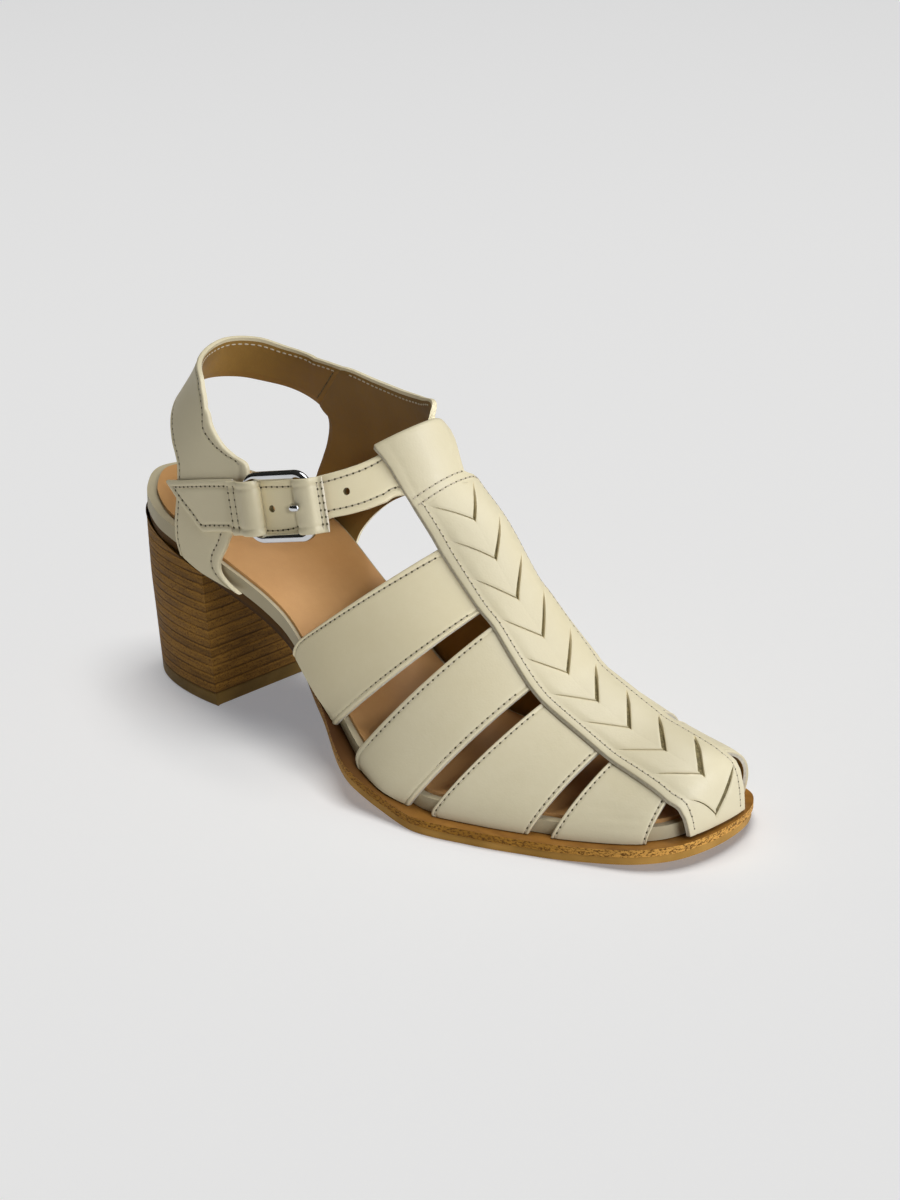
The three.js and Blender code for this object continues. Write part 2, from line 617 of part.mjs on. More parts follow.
// Pieces
const group = new THREE.Group();
const add = (name, shape, look) => group.add(node(name, shape, look));

const outerFace = upper();
add("upper", outerFace, leatherLook);
add("insole", plate((at) => -footbedInset(at), (x) => midsoleTop(x) + GAP, footbedTop), leatherLook);
const sockShift = (at) => -footbedInset(at) - SOCK_INSET;
add("sock", plate(sockShift, (x) => footbedTop(x) + GAP, (x) => footbedTop(x) + GAP + SOCK), sockLook);
add("midsole", plate((at) => -soleInset(at) * WAIST_INSET, midsoleLow, midsoleTop), stackLook);
const breast = HEEL.at(-1).breast;
const outsoleShift = (at) => -soleInset(at) * WAIST_INSET - OUTSOLE_INSET;
add("outsole", plate(outsoleShift, under, (x) => midsoleLow(x) - GAP, breast), gumLook);
const heelSeat = profile(() => HEEL_LIFT + GAP, (x) => midsoleLow(x) - GAP, -REACH, breast - GAP);
const heelPlan = plate((at) => -soleInset(at) * HEEL_INSET, () => 0, () => REACH - BELOW);
add("heel", heelBlock(HEEL.map((row) => row.height)).intersect(heelSeat).intersect(heelPlan), stackLook);
add("heel_lift", heelBlock([0, HEEL_LIFT]), gumLook);

const clearLeg = legForm(GAP);
const patch = legForm(GAP + ANCHOR.thick).subtract(clearLeg);
const strapFrame = onStrap(BUCKLE.x, BUCKLE.z).toArray();
const barReach = BUCKLE.long / 2 - BUCKLE.rod;
const rearFold = fold(FOLD.rear, -barReach, GAP).transform(strapFrame);
const anchor = patch.intersect(sideCut(ANCHOR.edge, -REACH, 0)).subtract(rearFold).simplify(FINE);
add("strap_anchor", anchor, leatherLook);
add("buckle_frame", frameRod(0).transform(strapFrame), metalLook);
add("buckle_prong", prong(0).transform(strapFrame), metalLook);
const WRAPS = [["buckle_wrap_rear", FOLD.rear, -barReach], ["buckle_wrap_front", FOLD.front, barReach]];
WRAPS.forEach(([name, at, bend]) => {
  const leather = fold(at, bend).subtract(frameRod(GAP)).subtract(prong(GAP));
  add(name, leather.transform(strapFrame).subtract(clearLeg), leatherLook);
});

// Centred on the shoe's own box, standing on the floor
const box = new THREE.Box3().setFromObject(group);
const centre = box.getCenter(new THREE.Vector3());
group.position.set(-centre.x, -centre.y, -box.min.z);

export default group;
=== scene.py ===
# Dresses the heeled fisherman sandal, a right shoe, in ivory leather with a woven strip and a stacked heel.
# Millimetres in the shoe's own frame: X from the back of the heel, Y to the inner side, Z from the floor.
import json
import math

import bpy
import numpy as np
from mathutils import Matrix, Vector

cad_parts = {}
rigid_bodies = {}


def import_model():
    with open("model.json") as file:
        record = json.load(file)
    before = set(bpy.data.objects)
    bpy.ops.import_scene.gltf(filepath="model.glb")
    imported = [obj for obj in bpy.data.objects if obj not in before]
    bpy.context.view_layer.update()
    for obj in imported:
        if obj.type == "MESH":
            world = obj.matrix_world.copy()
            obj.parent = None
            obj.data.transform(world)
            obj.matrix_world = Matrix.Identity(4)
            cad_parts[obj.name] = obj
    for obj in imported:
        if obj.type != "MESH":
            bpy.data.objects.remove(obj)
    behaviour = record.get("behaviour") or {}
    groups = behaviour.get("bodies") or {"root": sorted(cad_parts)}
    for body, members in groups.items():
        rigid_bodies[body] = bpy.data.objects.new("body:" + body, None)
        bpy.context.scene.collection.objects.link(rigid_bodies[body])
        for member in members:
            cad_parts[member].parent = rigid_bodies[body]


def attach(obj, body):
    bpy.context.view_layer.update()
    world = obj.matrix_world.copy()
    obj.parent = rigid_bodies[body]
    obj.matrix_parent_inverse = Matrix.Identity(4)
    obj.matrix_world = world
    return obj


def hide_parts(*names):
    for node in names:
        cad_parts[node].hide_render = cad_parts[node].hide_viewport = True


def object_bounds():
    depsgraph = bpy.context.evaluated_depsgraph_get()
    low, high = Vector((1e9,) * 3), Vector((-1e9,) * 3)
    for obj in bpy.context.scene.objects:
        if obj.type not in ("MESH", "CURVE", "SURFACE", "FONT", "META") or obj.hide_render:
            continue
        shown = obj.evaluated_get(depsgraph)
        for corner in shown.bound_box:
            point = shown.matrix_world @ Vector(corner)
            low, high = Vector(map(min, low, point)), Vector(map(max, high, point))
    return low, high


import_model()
CAD_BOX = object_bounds()

MM = 0.001
LENGTH = 235.8
BALL_INNER = 40
ORIGIN = np.array([CAD_BOX[0].x / MM, CAD_BOX[1].y / MM - BALL_INNER, 0])


def table(names, *rows):
    """A short table: one dict for each row, keyed by the column names."""
    return [dict(zip(names.split(), row)) for row in rows]


def rungs(**sides):
    """Rungs in order round the ankle, each with the ends of its low and its top edge."""
    ends = [(side, *row) for side, rows in sides.items() for row in rows]
    return table("side low_x low_z top_x top_z", *ends)


# Sizes of the leather, the sole layers and the stitching
GAP = 0.3
WALL = 2
STRIP_RAISE = 1.5
STRIP_SINK = 0.6
STRAP_TUCK = 4
OUTSOLE = 2.6
MIDSOLE = 3.1
MIDSOLE_BASE = 0.7
MIDSOLE_THINNER = 1.2
FOOTBED = 9.6
SOCK = 0.9
WAIST_INSET = 1.6
OUTSOLE_INSET = 0.5
LEDGE = 6.2
HEEL_LIFT = 4.6
STITCH_PITCH = 2.15
STITCH_INSET = 2.4

# Outline of the shoe from above: rand at the heel, sole edge at the forefoot
OUTLINE = table(
    "at lateral medial",
    (0, 0, 0), (0.02, 10.8, 12.6), (0.06, 20, 20.6), (0.12, 26, 25.4), (0.22, 27.8, 25.9),
    (0.34, 26, 20.4), (0.45, 35, 18.3), (0.56, 46.6, 23.8), (0.66, 46.9, 33), (0.75, 42, 39),
    (0.83, 34.9, 40), (0.9, 28.2, 37.5), (0.95, 22.4, 32.8), (0.985, 13.8, 22), (1, -3, 3),
)

# Underside of the sole from the side, and how far the layers stand in from the outline
SOLE = table(
    "at rise footbed_inset sole_inset outsole sock_inset",
    (0, 59, 0, 0.35, 0.5, 3.5), (0.1, 54.6, 0, 0.35, 0.5, 3.3), (0.2, 48.8, 0, 0.4, 0.5, 2),
    (0.3, 40.2, 0, 0.5, 0.6, 1.3), (0.37, 31.4, 0.2, 0.5, 0.75, 1.3), (0.44, 21.4, 2.6, 0.2, 0.9, 1.6),
    (0.52, 10.5, 5.6, 0, 1, 2.4), (0.6, 3.3, LEDGE, 0, 1, 2.8), (0.67, 0, LEDGE, 0, 1, 2.8),
    (0.83, 0, LEDGE, 0, 1, 3), (0.9, 0.9, LEDGE, 0, 1, 3), (1, 3.6, LEDGE, 0, 1, 3),
)

# Heel block rings from the floor up
HEEL = table(
    "height back breast lateral medial",
    (0, 2, 44.6, 20.2, 22), (20, 0.8, 45, 22.8, 22.6), (40, 0, 45.8, 25.8, 24), (70, 0, 47, 29, 26.8),
)

# Sections of the forefoot last from throat to toe, with the edges of the centre strip
LAST = table(
    "key foot ridge rise swing outer inner left right",
    ("loop_top", 42, 122.5, 109.8, 1, 2.2, 1.8, -15.2, 16.5),
    ("loop_end", 84, 130.5, 94.6, 2, 2.05, 2.8, -12.6, 13.5),
    ("rear_1", 88, 144, 83, 3, 1.8, 2.6, -12, 12.8),
    ("front_1", 115, 159, 66.4, 4.5, 1.65, 2.5, -12, 11.4),
    ("rear_2", 127, 162, 63, 5, 1.6, 2.5, -12, 12),
    ("front_2", 152, 177, 46.6, 5.5, 1.5, 2.3, -12, 15.2),
    ("rear_3", 160, 181, 43, 5.5, 1.5, 2.15, -12, 15.2),
    ("front_3", 191, 203, 34.2, 5.5, 1.5, 2.05, -12, 14.5),
    ("rear_4", 197.5, 207, 33, 5.5, 1.5, 1.95, -12, 14),
    ("front_4", 224, 227, 28.4, 5.5, 1.55, 2.05, -11, 14.4),
    ("toe_bend", 225.6, 231.6, 25, 5.5, 1.6, 2.2, -10, 15.8),
    ("toe_face", 226.4, 232.8, 17, 5.5, 1.8, 2.2, -9, 17.6),
    ("toe_foot", 226.8, 232.6, 9.4, 5.5, 2, 2.2, -8, 19),
)

# Rings of the ankle from the heel seat to the top line
LEG = table(
    "height back front aside lateral medial round",
    (40, 0, 178, 0, 30.2, 28, 2.3), (60, -1, 163, 0, 30.2, 28, 2.3), (75, 1, 150, 0, 30, 27.6, 2.2),
    (85, 6.5, 138.5, 0.5, 29.8, 27, 2.1), (94, 12, 129.5, 2, 29, 26, 2),
    (102, 16.5, 124.5, 3.5, 27.8, 24.8, 1.9), (110, 20.5, 120.4, 5.5, 26.6, 23.6, 1.75),
    (115, 22.8, 121.6, 6.2, 25.8, 23.1, 1.7), (120, 25, 120, 7, 25, 22.6, 1.65),
)
LEG_MIDDLE = 50

# Rungs across the outer quarter and the band behind the heel, from the sole round to the inner seam
QUARTER = rungs(
    outer=[
        (39, 55, 66.4, 48), (37, 60, 61, 50.4), (36.8, 66, 57.6, 53.4), (37.3, 70.6, 57.8, 57.4),
        (37.9, 75.5, 60.4, 62), (38.2, 80, 63.2, 67.6), (38.1, 83, 69.2, 74), (37.4, 86, 69.6, 84),
        (35.6, 88.4, 69.4, 91.6), (33.4, 90.4, 63.6, 93.8), (30.6, 93, 58.2, 96.4),
        (27.2, 95.6, 53.2, 101), (23.4, 98, 50, 106), (20, 99.8, 46.8, 111), (18.2, 101.2, 39.6, 115),
    ],
    back=[(0, 102.4, 0, 116.4)],
    inner=[
        (21, 101.4, 28.6, 115.5), (28, 99.8, 37.4, 112.8), (36.4, 98.6, 48, 111.6),
        (43.2, 97.2, 56, 111.2), (49.2, 95.2, 62.5, 111), (52.6, 93, 70, 110.8),
    ],
)

# Rungs across the inner quarter and the strap that it runs into, from the sole over the instep to the buckle
ANKLE_STRAP = rungs(
    inner=[
        (63, 47.8, 37, 55.6), (66, 54, 43, 63), (71, 60, 47, 71.4), (76, 64.6, 49.8, 77.4),
        (81, 68.4, 52.2, 83.4), (85, 70.8, 53.4, 89), (88, 72.4, 52.6, 92.6), (90.4, 73.4, 49.8, 95.2),
        (92.6, 74.2, 52, 100.4), (95, 75.2, 57, 106.4), (98, 76.4, 62.6, 111), (102, 78, 79, 110.6),
        (108, 80.6, 94, 110.9), (115, 84, 107, 112.4), (122, 88, 117.4, 114.2),
    ],
    front=[(0, 90, 0, 107.6)],
    outer=[
        (123.4, 91, 116.6, 106.4), (118.4, 88.4, 113.8, 102.4), (112.8, 85.4, 109.6, 99.4),
        (107.6, 83.2, 104.6, 96.9), (102.3, 81.2, 99.2, 94.6), (95.6, 77.4, 94, 92.6),
        (89.2, 73.3, 88.8, 91.4), (84, 71.4, 82.5, 90), (78.5, 70, 76.2, 88.6), (69.6, 68.2, 69.4, 86),
    ],
)

# Pointed patch under the rear buckle leather, seen from the side
PATCH = table(
    "x low high",
    (34.3, 77.9, 78.9), (37, 76.2, 79.6), (42, 72.7, 80.9), (47, 69.4, 82.3), (51.9, 66.1, 83.6),
    (56, 67.1, 84.6), (60, 68, 85.5), (65, 69.2, 86.7),
)
PATCH_CORNER = 4
PATCH_THICK = 1.4
PATCH_STEPS = 60
PATCH_GAP = 0.02
PATCH_SEWN = (0.12, 0.97)
PATCH_SINK = 0.12
PATCH_INSET = 2.2

# Buckle laid out on the outer side, along the strap
BUCKLE = dict(x=85, z=82.1, tilt=13.5, long=28, tall=22.8, corner=5, rod=1.5, stand=1.9, flat=0.9)
PRONG = table(
    "along lift thick",
    (4.6, 1.4, 0.95), (5.4, 2.6, 1.08), (6.4, 4.5, 1.06),
    (7.8, 5.9, 1.02), (9.4, 6.2, 0.98), (10.9, 6, 0.9),
)

# Path of each leather fold, from its tail round the bar: along the strap from the bar, and up from the strap
FOLDS = {
    "rear": [(8.2, 1.5), (5.8, 1.6), (4, 2.2), (2.2, 3.8), (0, 4.7), (-2.6, 4.8), (-4.6, 4), (-5.4, 2.2),
             (-4.6, 0.3)],
    "front": [(5, 1.5), (3.8, 1.8), (2.8, 2.8), (1.6, 4.1), (-0.6, 4.8), (-3, 4.8), (-4.8, 4), (-5.5, 2.2),
              (-4.7, 0.3)],
}
FOLD_BAR = 12.5
FOLD_TALL = 17.6
FOLD_THICK = 1.1
FOLD_STEPS = 48
FOLD_SEW = dict(tails=(0.03, 0.16), across=(0.06, 0.94), steps=40, sink=0.05)
STRAP_HOLES = table("x z", (106.5, 90.3), (80.6, 80.1))
HOLE_RADIUS = 1.15

# Woven strip: slits in a row of chevrons that point to the toe
PLAIT_START = 19
PLAIT_PITCH = 13.65
PLAIT_REACH = dict(outer=19, inner=18, inner_toe=12.5)
PLAIT_APEX = -0.2
PLAIT_LIFT = 0.35
SLIT_DEPTH = dict(strip=1.3, toe=0.45)
SLIT_TOE = dict(sharp=8, wider=1)
SLIT_INNER = dict(half=0.85, end=0.45, end_toe=0.75)
SLIT_OUTER = dict(half=0.13, end=-0.74)
SLIT_GAPE = dict(sharp=6, least=0.02, cover=3, shows=0.05)
LOOP_STITCHES = (16.4, 19)
LOOP_DIP = dict(depth=0.2, half=0.5)
SHOULDER = dict(narrow=8, along=4)
STRIP_ACROSS = 25
STRIP_BEVEL = 0.04
STRIP_GAP = 0.4


def curve(rows, key, value, warp=lambda a: a):
    """Reads one column of a table as a smooth curve that never overshoots its rows."""
    xs = warp(np.array([row[key] for row in rows], float))
    ys = np.array([row[value] for row in rows], float)
    steps = np.diff(xs)
    rises = np.diff(ys) / steps
    slopes = np.concatenate([rises[:1], np.zeros(len(xs) - 2), rises[-1:]])
    for i in range(1, len(xs) - 1):
        before, after = rises[i - 1], rises[i]
        if before * after > 0:
            near, far = steps[i - 1], steps[i]
            slopes[i] = 3 * (near + far) / ((2 * far + near) / before + (far + 2 * near) / after)

    def read(at):
        x = np.clip(warp(np.asarray(at, float)), xs[0], xs[-1])
        i = np.clip(np.searchsorted(xs, x, side="right") - 1, 0, len(xs) - 2)
        t = (x - xs[i]) / steps[i]
        start = (2 * t**3 - 3 * t**2 + 1) * ys[i] + (t**3 - 2 * t**2 + t) * steps[i] * slopes[i]
        return start + (3 * t**2 - 2 * t**3) * ys[i + 1] + (t**3 - t**2) * steps[i] * slopes[i + 1]

    return read


def route(points, t):
    """Smooth path through a few control points, read at t from 0 to 1."""
    points = np.asarray(points, float)
    along = np.clip(np.asarray(t, float), 0, 1) * (len(points) - 1)
    i = np.clip(along.astype(int), 0, len(points) - 2)
    f = (along - i)[..., None]
    padded = np.vstack([2 * points[0] - points[1], points, 2 * points[-1] - points[-2]])
    a, b, c, d = (padded[i + k] for k in range(4))
    return b + 0.5 * f * (c - a + f * (2 * a - 5 * b + 4 * c - d + f * (3 * (b - c) + d - a)))


def lerp(a, b, t):
    return a + (b - a) * t


def unit(vectors):
    return vectors / np.maximum(np.linalg.norm(vectors, axis=-1, keepdims=True), 1e-9)


def run_along(points):
    """Length of a path up to each of its points."""
    return np.concatenate([[0], np.cumsum(np.linalg.norm(np.diff(points, axis=0), axis=1))])


def bump(d, width):
    """Soft hill, one at d = 0."""
    return np.exp(-((d / width) ** 2))


# The sole's plan and side profile
def round_ends(share):
    return np.arccos(1 - 2 * np.clip(share, 0, 1))


LATERAL_WIDTH = curve(OUTLINE, "at", "lateral", round_ends)
MEDIAL_WIDTH = curve(OUTLINE, "at", "medial", round_ends)
RISE = curve(SOLE, "at", "rise")
FOOTBED_INSET = curve(SOLE, "at", "footbed_inset")
SOLE_INSET = curve(SOLE, "at", "sole_inset")
SOCK_INSET = curve(SOLE, "at", "sock_inset")
OUTSOLE_SHARE = curve(SOLE, "at", "outsole")


def under(x):
    return RISE(x / LENGTH)


def midsole_low(x):
    return under(x) + OUTSOLE * OUTSOLE_SHARE(x / LENGTH)


def midsole_top(x):
    waist = 1 - OUTSOLE_SHARE(x / LENGTH)
    return under(x) + OUTSOLE * MIDSOLE_BASE + MIDSOLE - waist * MIDSOLE_THINNER


def footbed_top(x):
    return under(x) + FOOTBED


TURN_STEP = 0.02
LEG_STEP = 0.03


def outline(turn, shift):
    """Point of the plan, stood out by shift. Turn 0 is the heel, pi the toe, negative the inner side."""
    def bare(a):
        a = (a + math.pi) % (2 * math.pi) - math.pi
        share = (1 - np.cos(a)) / 2
        return np.stack([share * LENGTH, np.where(a < 0, MEDIAL_WIDTH(share), -LATERAL_WIDTH(share))], -1)

    along = unit(bare(turn + TURN_STEP) - bare(turn - TURN_STEP))
    out = np.stack([along[..., 1], -along[..., 0]], -1)
    return bare(turn) + out * np.asarray(shift((1 - np.cos(turn)) / 2))[..., None]


FEATHER_TURNS = np.linspace(0, math.pi, 240)
FEATHER = {
    side: outline(sign * FEATHER_TURNS, lambda at: WALL + GAP - FOOTBED_INSET(at))
    for side, sign in (("outer", 1), ("inner", -1))
}


def feather_y(x, is_outer):
    outer, inner = (np.interp(x, FEATHER[side][:, 0], FEATHER[side][:, 1]) for side in ("outer", "inner"))
    return np.where(is_outer, outer, inner)


# Surface of the forefoot last: u counts the rows of its table, v runs from the outer feather to the inner one
ROW = {row["key"]: i for i, row in enumerate(LAST)}
for index, row in enumerate(LAST):
    row["u"] = index
LAST_AT = {key: curve(LAST, "u", key) for key in LAST[0] if key not in ("key", "u")}


def last_point(u, v):
    u, v = np.broadcast_arrays(np.asarray(u, float), np.asarray(v, float))
    is_outer = v < 0
    full = np.where(is_outer, LAST_AT["outer"](u), LAST_AT["inner"](u))
    turn = (1 - np.abs(v)) * math.pi / 2
    out = np.clip(np.cos(turn), 0, 1) ** (2 / full)
    up = np.clip(np.sin(turn), 0, 1) ** (2 / full)
    foot, swing = LAST_AT["foot"](u), LAST_AT["swing"](u)
    floor = midsole_top(foot) + GAP
    return np.stack([
        lerp(foot, LAST_AT["ridge"](u), up),
        lerp(swing, feather_y(foot, is_outer), out),
        lerp(floor, LAST_AT["rise"](u), up),
    ], -1)


def last_spot(u, v):
    ahead = last_point(u + TURN_STEP, v) - last_point(u - TURN_STEP, v)
    lean = np.clip(v, -1 + 2 * TURN_STEP, 1 - 2 * TURN_STEP)
    across = last_point(u, lean + TURN_STEP) - last_point(u, lean - TURN_STEP)
    return last_point(u, v), unit(np.cross(ahead, across))


def v_at(u, y):
    """The v of the last where its section passes a given Y."""
    swing = LAST_AT["swing"](u)
    is_outer = y < swing
    full = np.where(is_outer, LAST_AT["outer"](u), LAST_AT["inner"](u))
    share = np.abs((y - swing) / (feather_y(LAST_AT["foot"](u), is_outer) - swing))
    turn = np.arccos(np.clip(share, 0, 1) ** (full / 2))
    return np.where(is_outer, -1, 1) * (1 - turn / (math.pi / 2))


# Surface of the ankle: turn 0 is its front, negative the outer side
LEG_AT = {key: curve(LEG, "height", key) for key in LEG[0] if key != "height"}


def leg_point(turn, z):
    turn, z = np.broadcast_arrays(np.asarray(turn, float), np.asarray(z, float))
    c, s = np.cos(turn), np.sin(turn)
    power = np.where(c < 0, 2 / LEG_AT["round"](z), 1)
    reach = np.where(c < 0, LEG_MIDDLE - LEG_AT["back"](z), LEG_AT["front"](z) - LEG_MIDDLE)
    wide = np.where(s < 0, LEG_AT["lateral"](z), LEG_AT["medial"](z))
    return np.stack([
        LEG_MIDDLE + np.sign(c) * np.abs(c) ** power * reach,
        np.sign(s) * np.abs(s) ** power * wide + np.maximum(0, -c) * LEG_AT["aside"](z),
        z,
    ], -1)


def leg_spot(turn, z):
    round_leg = leg_point(turn + LEG_STEP, z) - leg_point(turn - LEG_STEP, z)
    upwards = leg_point(turn, z + 1) - leg_point(turn, z - 1)
    return leg_point(turn, z), unit(np.cross(round_leg, upwards))


def leg_turn(x, z):
    """How far round from the front the ankle surface passes x at height z."""
    back = x < LEG_MIDDLE
    reach = np.where(back, LEG_MIDDLE - LEG_AT["back"](z), LEG_AT["front"](z) - LEG_MIDDLE)
    power = np.where(back, LEG_AT["round"](z) / 2, 1)
    c = np.clip(np.abs(x - LEG_MIDDLE) / reach, 0, 1) ** power
    return np.arccos(np.where(back, -c, c))


def rung_ends(rows, edge):
    """Turn and height of one edge of a rung table, carried on round the back of the heel."""
    past_back = False
    spots = []
    for row in rows:
        x, z = row[edge + "_x"], row[edge + "_z"]
        turn = {"front": 0, "back": -math.pi}.get(row["side"])
        if turn is None:
            turn = float(leg_turn(x, z)) * (1 if row["side"] == "inner" else -1)
        past_back = past_back or row["side"] == "back"
        spots.append((turn - 2 * math.pi if past_back and turn > 0 else turn, z))
    return np.array(spots)


# Modelling: grids laid over the shoe's surfaces, then thickened, merged and smoothed
DOUBLES = 0.01
SLIVERS = 0.005
LEATHER_ANGLE = 40


def pick(piece):
    bpy.ops.object.select_all(action="DESELECT")
    piece.select_set(True)
    bpy.context.view_layer.objects.active = piece


def smooth(piece, angle):
    pick(piece)
    bpy.ops.object.shade_smooth_by_angle(angle=math.radians(angle))
    return piece


def corners(piece):
    spots = np.zeros(len(piece.data.vertices) * 3)
    piece.data.vertices.foreach_get("co", spots)
    return spots.reshape(-1, 3)


def place(piece, points):
    piece.data.vertices.foreach_set("co", ((np.asarray(points) + ORIGIN) * MM).astype(np.float32).ravel())
    piece.data.update()


def apply(piece, kind, **settings):
    pick(piece)
    modifier = piece.modifiers.new(kind.lower(), kind)
    for key, value in settings.items():
        setattr(modifier, key, value)
    bpy.ops.object.modifier_apply(modifier=modifier.name)


def wear(piece, looks):
    for look in looks:
        piece.data.materials.append(look)


def new_grid(name, columns, rows, looks):
    """A grid primitive and the column and row of each of its points."""
    bpy.ops.object.select_all(action="DESELECT")
    bpy.ops.mesh.primitive_grid_add(x_subdivisions=columns, y_subdivisions=rows, size=2)
    piece = bpy.context.object
    piece.name = piece.data.name = name
    wear(piece, looks)
    share = (corners(piece) + 1) / 2
    return piece, np.rint(share[:, 0] * columns).astype(int), np.rint(share[:, 1] * rows).astype(int)


def clean(piece, angle=LEATHER_ANGLE, fill=False):
    """Merges doubles, closes open ends, points the faces outwards and smooths all but the sharp edges."""
    pick(piece)
    bpy.ops.object.mode_set(mode="EDIT")
    bpy.ops.mesh.select_all(action="SELECT")
    bpy.ops.mesh.remove_doubles(threshold=DOUBLES * MM)
    bpy.ops.mesh.dissolve_degenerate(threshold=SLIVERS * MM)
    if fill:
        bpy.ops.mesh.select_all(action="DESELECT")
        bpy.ops.mesh.select_mode(type="EDGE")
        bpy.ops.mesh.select_non_manifold(extend=False)
        bpy.ops.mesh.fill_holes(sides=0)
        bpy.ops.mesh.select_mode(type="VERT")
    bpy.ops.mesh.select_all(action="SELECT")
    bpy.ops.mesh.normals_make_consistent(inside=False)
    bpy.ops.object.mode_set(mode="OBJECT")
    return smooth(piece, angle)


def dress(piece, slot, *nodes):
    """Attaches a piece to the root body and hides the nodes that it stands for; the slot is not used."""
    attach(piece, "root")
    if nodes:
        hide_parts(*nodes)
    return piece


def thicken(name, columns, rows, outer, inner, looks):
    """Closed wall between two grids of points: outer faces take slot 0, inner faces 1, the rim 2."""
    piece, i, j = new_grid(name, columns, rows, looks)
    apply(piece, "SOLIDIFY", thickness=MM, offset=-1, material_offset=1, material_offset_rim=2)
    place(piece, np.vstack([outer[i, j], inner[i, j]]))
    return piece


# Rows across a strap: close together at the edge, where the leather is rounded, beaded and drawn in
EDGE_ROWS = np.array([0, 0.08, 0.25, 0.6, 1.1, 1.6, 2, 2.4, 2.8, 3.3, 4, 5.4])
MIDDLE_ROWS = np.array([0.2, 0.4, 0.6, 0.8])
STRIP_CUT = dict(radius=0.3, bead=0, dip=0.1)
SKIVE = dict(depth=0.5, width=2.5)
BEAD = dict(at=1.2, half=0.6)
DIP_HALF = 0.5
ROW_ROOM = 2.2
WIDTH_STEPS = 9
TUCKED = dict(thin=0.35, over=0.01)


def rows_across(width):
    near = EDGE_ROWS * np.minimum(1, width[:, None] / (ROW_ROOM * EDGE_ROWS[-1]))
    far = width[:, None] - near[:, ::-1]
    return np.hstack([near, lerp(near[:, -1:], far[:, :1], MIDDLE_ROWS), far])


def edge_shape(d, radius=0.6, bead=0.1, dip=0.24):
    """How far the outer face lies under its surface, d from the cut edge."""
    inside = np.clip(radius - d, 0, radius)
    rounding = radius - np.sqrt(radius**2 - inside**2)
    return rounding - bead * bump(d - BEAD["at"], BEAD["half"]) + dip * bump(d - STITCH_INSET, DIP_HALF)


def leather(name, spot, columns, thick, looks, base=0, wave=None, folded=None, tucked=1.0):
    """A cut piece of leather: spot(t, s) gives surface points and normals, t along it and s across."""
    t = np.linspace(0, 1, columns + 1)
    lines = [spot(t, np.full_like(t, s))[0] for s in np.linspace(0, 1, WIDTH_STEPS)]
    width = np.linalg.norm(np.diff(lines, axis=0), axis=-1).sum(0)
    d = rows_across(width)
    points, normals = spot(np.repeat(t[:, None], d.shape[1], 1), d / width[:, None])
    from_edge = np.minimum(d, width[:, None] - d)
    thin = TUCKED["thin"] * np.clip((t - tucked) / TUCKED["over"], 0, 1)[:, None]
    sway = base + (wave(t[:, None], d / width[:, None]) if wave is not None else 0)
    lift = sway - edge_shape(from_edge) - thin
    depth = sway - thick + thin + SKIVE["depth"] * np.clip(1 - from_edge / SKIVE["width"], 0, 1)
    outer, inner = (points + normals * far[..., None] for far in (lift, depth))
    piece = thicken(name, columns, d.shape[1] - 1, outer, inner, looks)
    if folded is not None:
        turn_over(piece, columns, d.shape[1] - 1, folded)
    return clean(piece)


FOLD_ROWS = 4


def turn_over(piece, columns, rows, folded):
    """The outer leather is folded over the top edge, so the inner face keeps its colour there."""
    inner_start = (columns + 1) * (rows + 1)
    for face in piece.data.polygons:
        if face.material_index == 1:
            spots = [divmod(v - inner_start, columns + 1) for v in face.vertices]
            along = min(i for _, i in spots) / columns
            if min(j for j, _ in spots) >= rows - FOLD_ROWS and folded[0] < along < folded[1]:
                face.material_index = 0


# Stitches and needle holes are collected as rows and joined at the end
THREADS = []
HOLES = []


def stitch(points, normals, hole=1.0):
    """Sews a row along a path of points, a thread on each pitch with a hole at its ends."""
    run = run_along(points)
    count = max(2, round(run[-1] / STITCH_PITCH))
    along = (np.arange(2 * count) + 0.5) * run[-1] / (2 * count)
    spots = np.stack([np.interp(along, run, points[:, k]) for k in range(3)], -1)
    up = unit(np.stack([np.interp(along, run, normals[:, k]) for k in range(3)], -1))
    ahead = np.gradient(spots, axis=0)
    aside = unit(np.cross(up, ahead))
    frames = np.stack([np.cross(aside, up), aside, up], 1)
    THREADS.append((spots[0::2], frames[0::2], run[-1] / count))
    if hole:
        HOLES.append((spots[1::2], frames[1::2] * hole, run[-1] / count))


SEW_LIFT = -0.2


def beside_edge(spot, s_edge, start, end, inset, steps):
    t = np.linspace(start, end, steps)
    width = np.linalg.norm(spot(t, t * 0 + 1)[0] - spot(t, t * 0)[0], axis=-1)
    return spot(t, np.abs(s_edge - inset / width))


def sew_edge(spot, s_edge, start, end, lift=SEW_LIFT, inset=STITCH_INSET, steps=90):
    """A stitch row beside one edge of a cut piece."""
    points, normals = beside_edge(spot, s_edge, start, end, inset, steps)
    stitch(points + normals * lift, normals)


def sew_inside(spot, s_edge, start, end):
    """The same row seen on the lining."""
    points, normals = beside_edge(spot, s_edge, start, end, STITCH_INSET, steps=200)
    stitch(points - normals * WALL, -normals, hole=0)


STITCH_ANGLE = 50


def join_small(name, rows, ring, faces, length_share, look):
    """One mesh of a small shape set at every stitch."""
    points, polygons, start = [], [], 0
    for spots, frames, pitch in rows:
        shape = ring * np.array([pitch * length_share, 1, 1])
        made = spots[:, None] + np.einsum("kc,ncd->nkd", shape, frames)
        for block in made:
            points.append(block)
            polygons.extend([[start + k for k in face] for face in faces])
            start += len(ring)
    mesh = bpy.data.meshes.new(name)
    mesh.from_pydata(((np.vstack(points) + ORIGIN) * MM).tolist(), [], polygons)
    piece = bpy.data.objects.new(name, mesh)
    bpy.context.scene.collection.objects.link(piece)
    wear(smooth(piece, STITCH_ANGLE), [look])
    dress(piece, "ivory_leather")


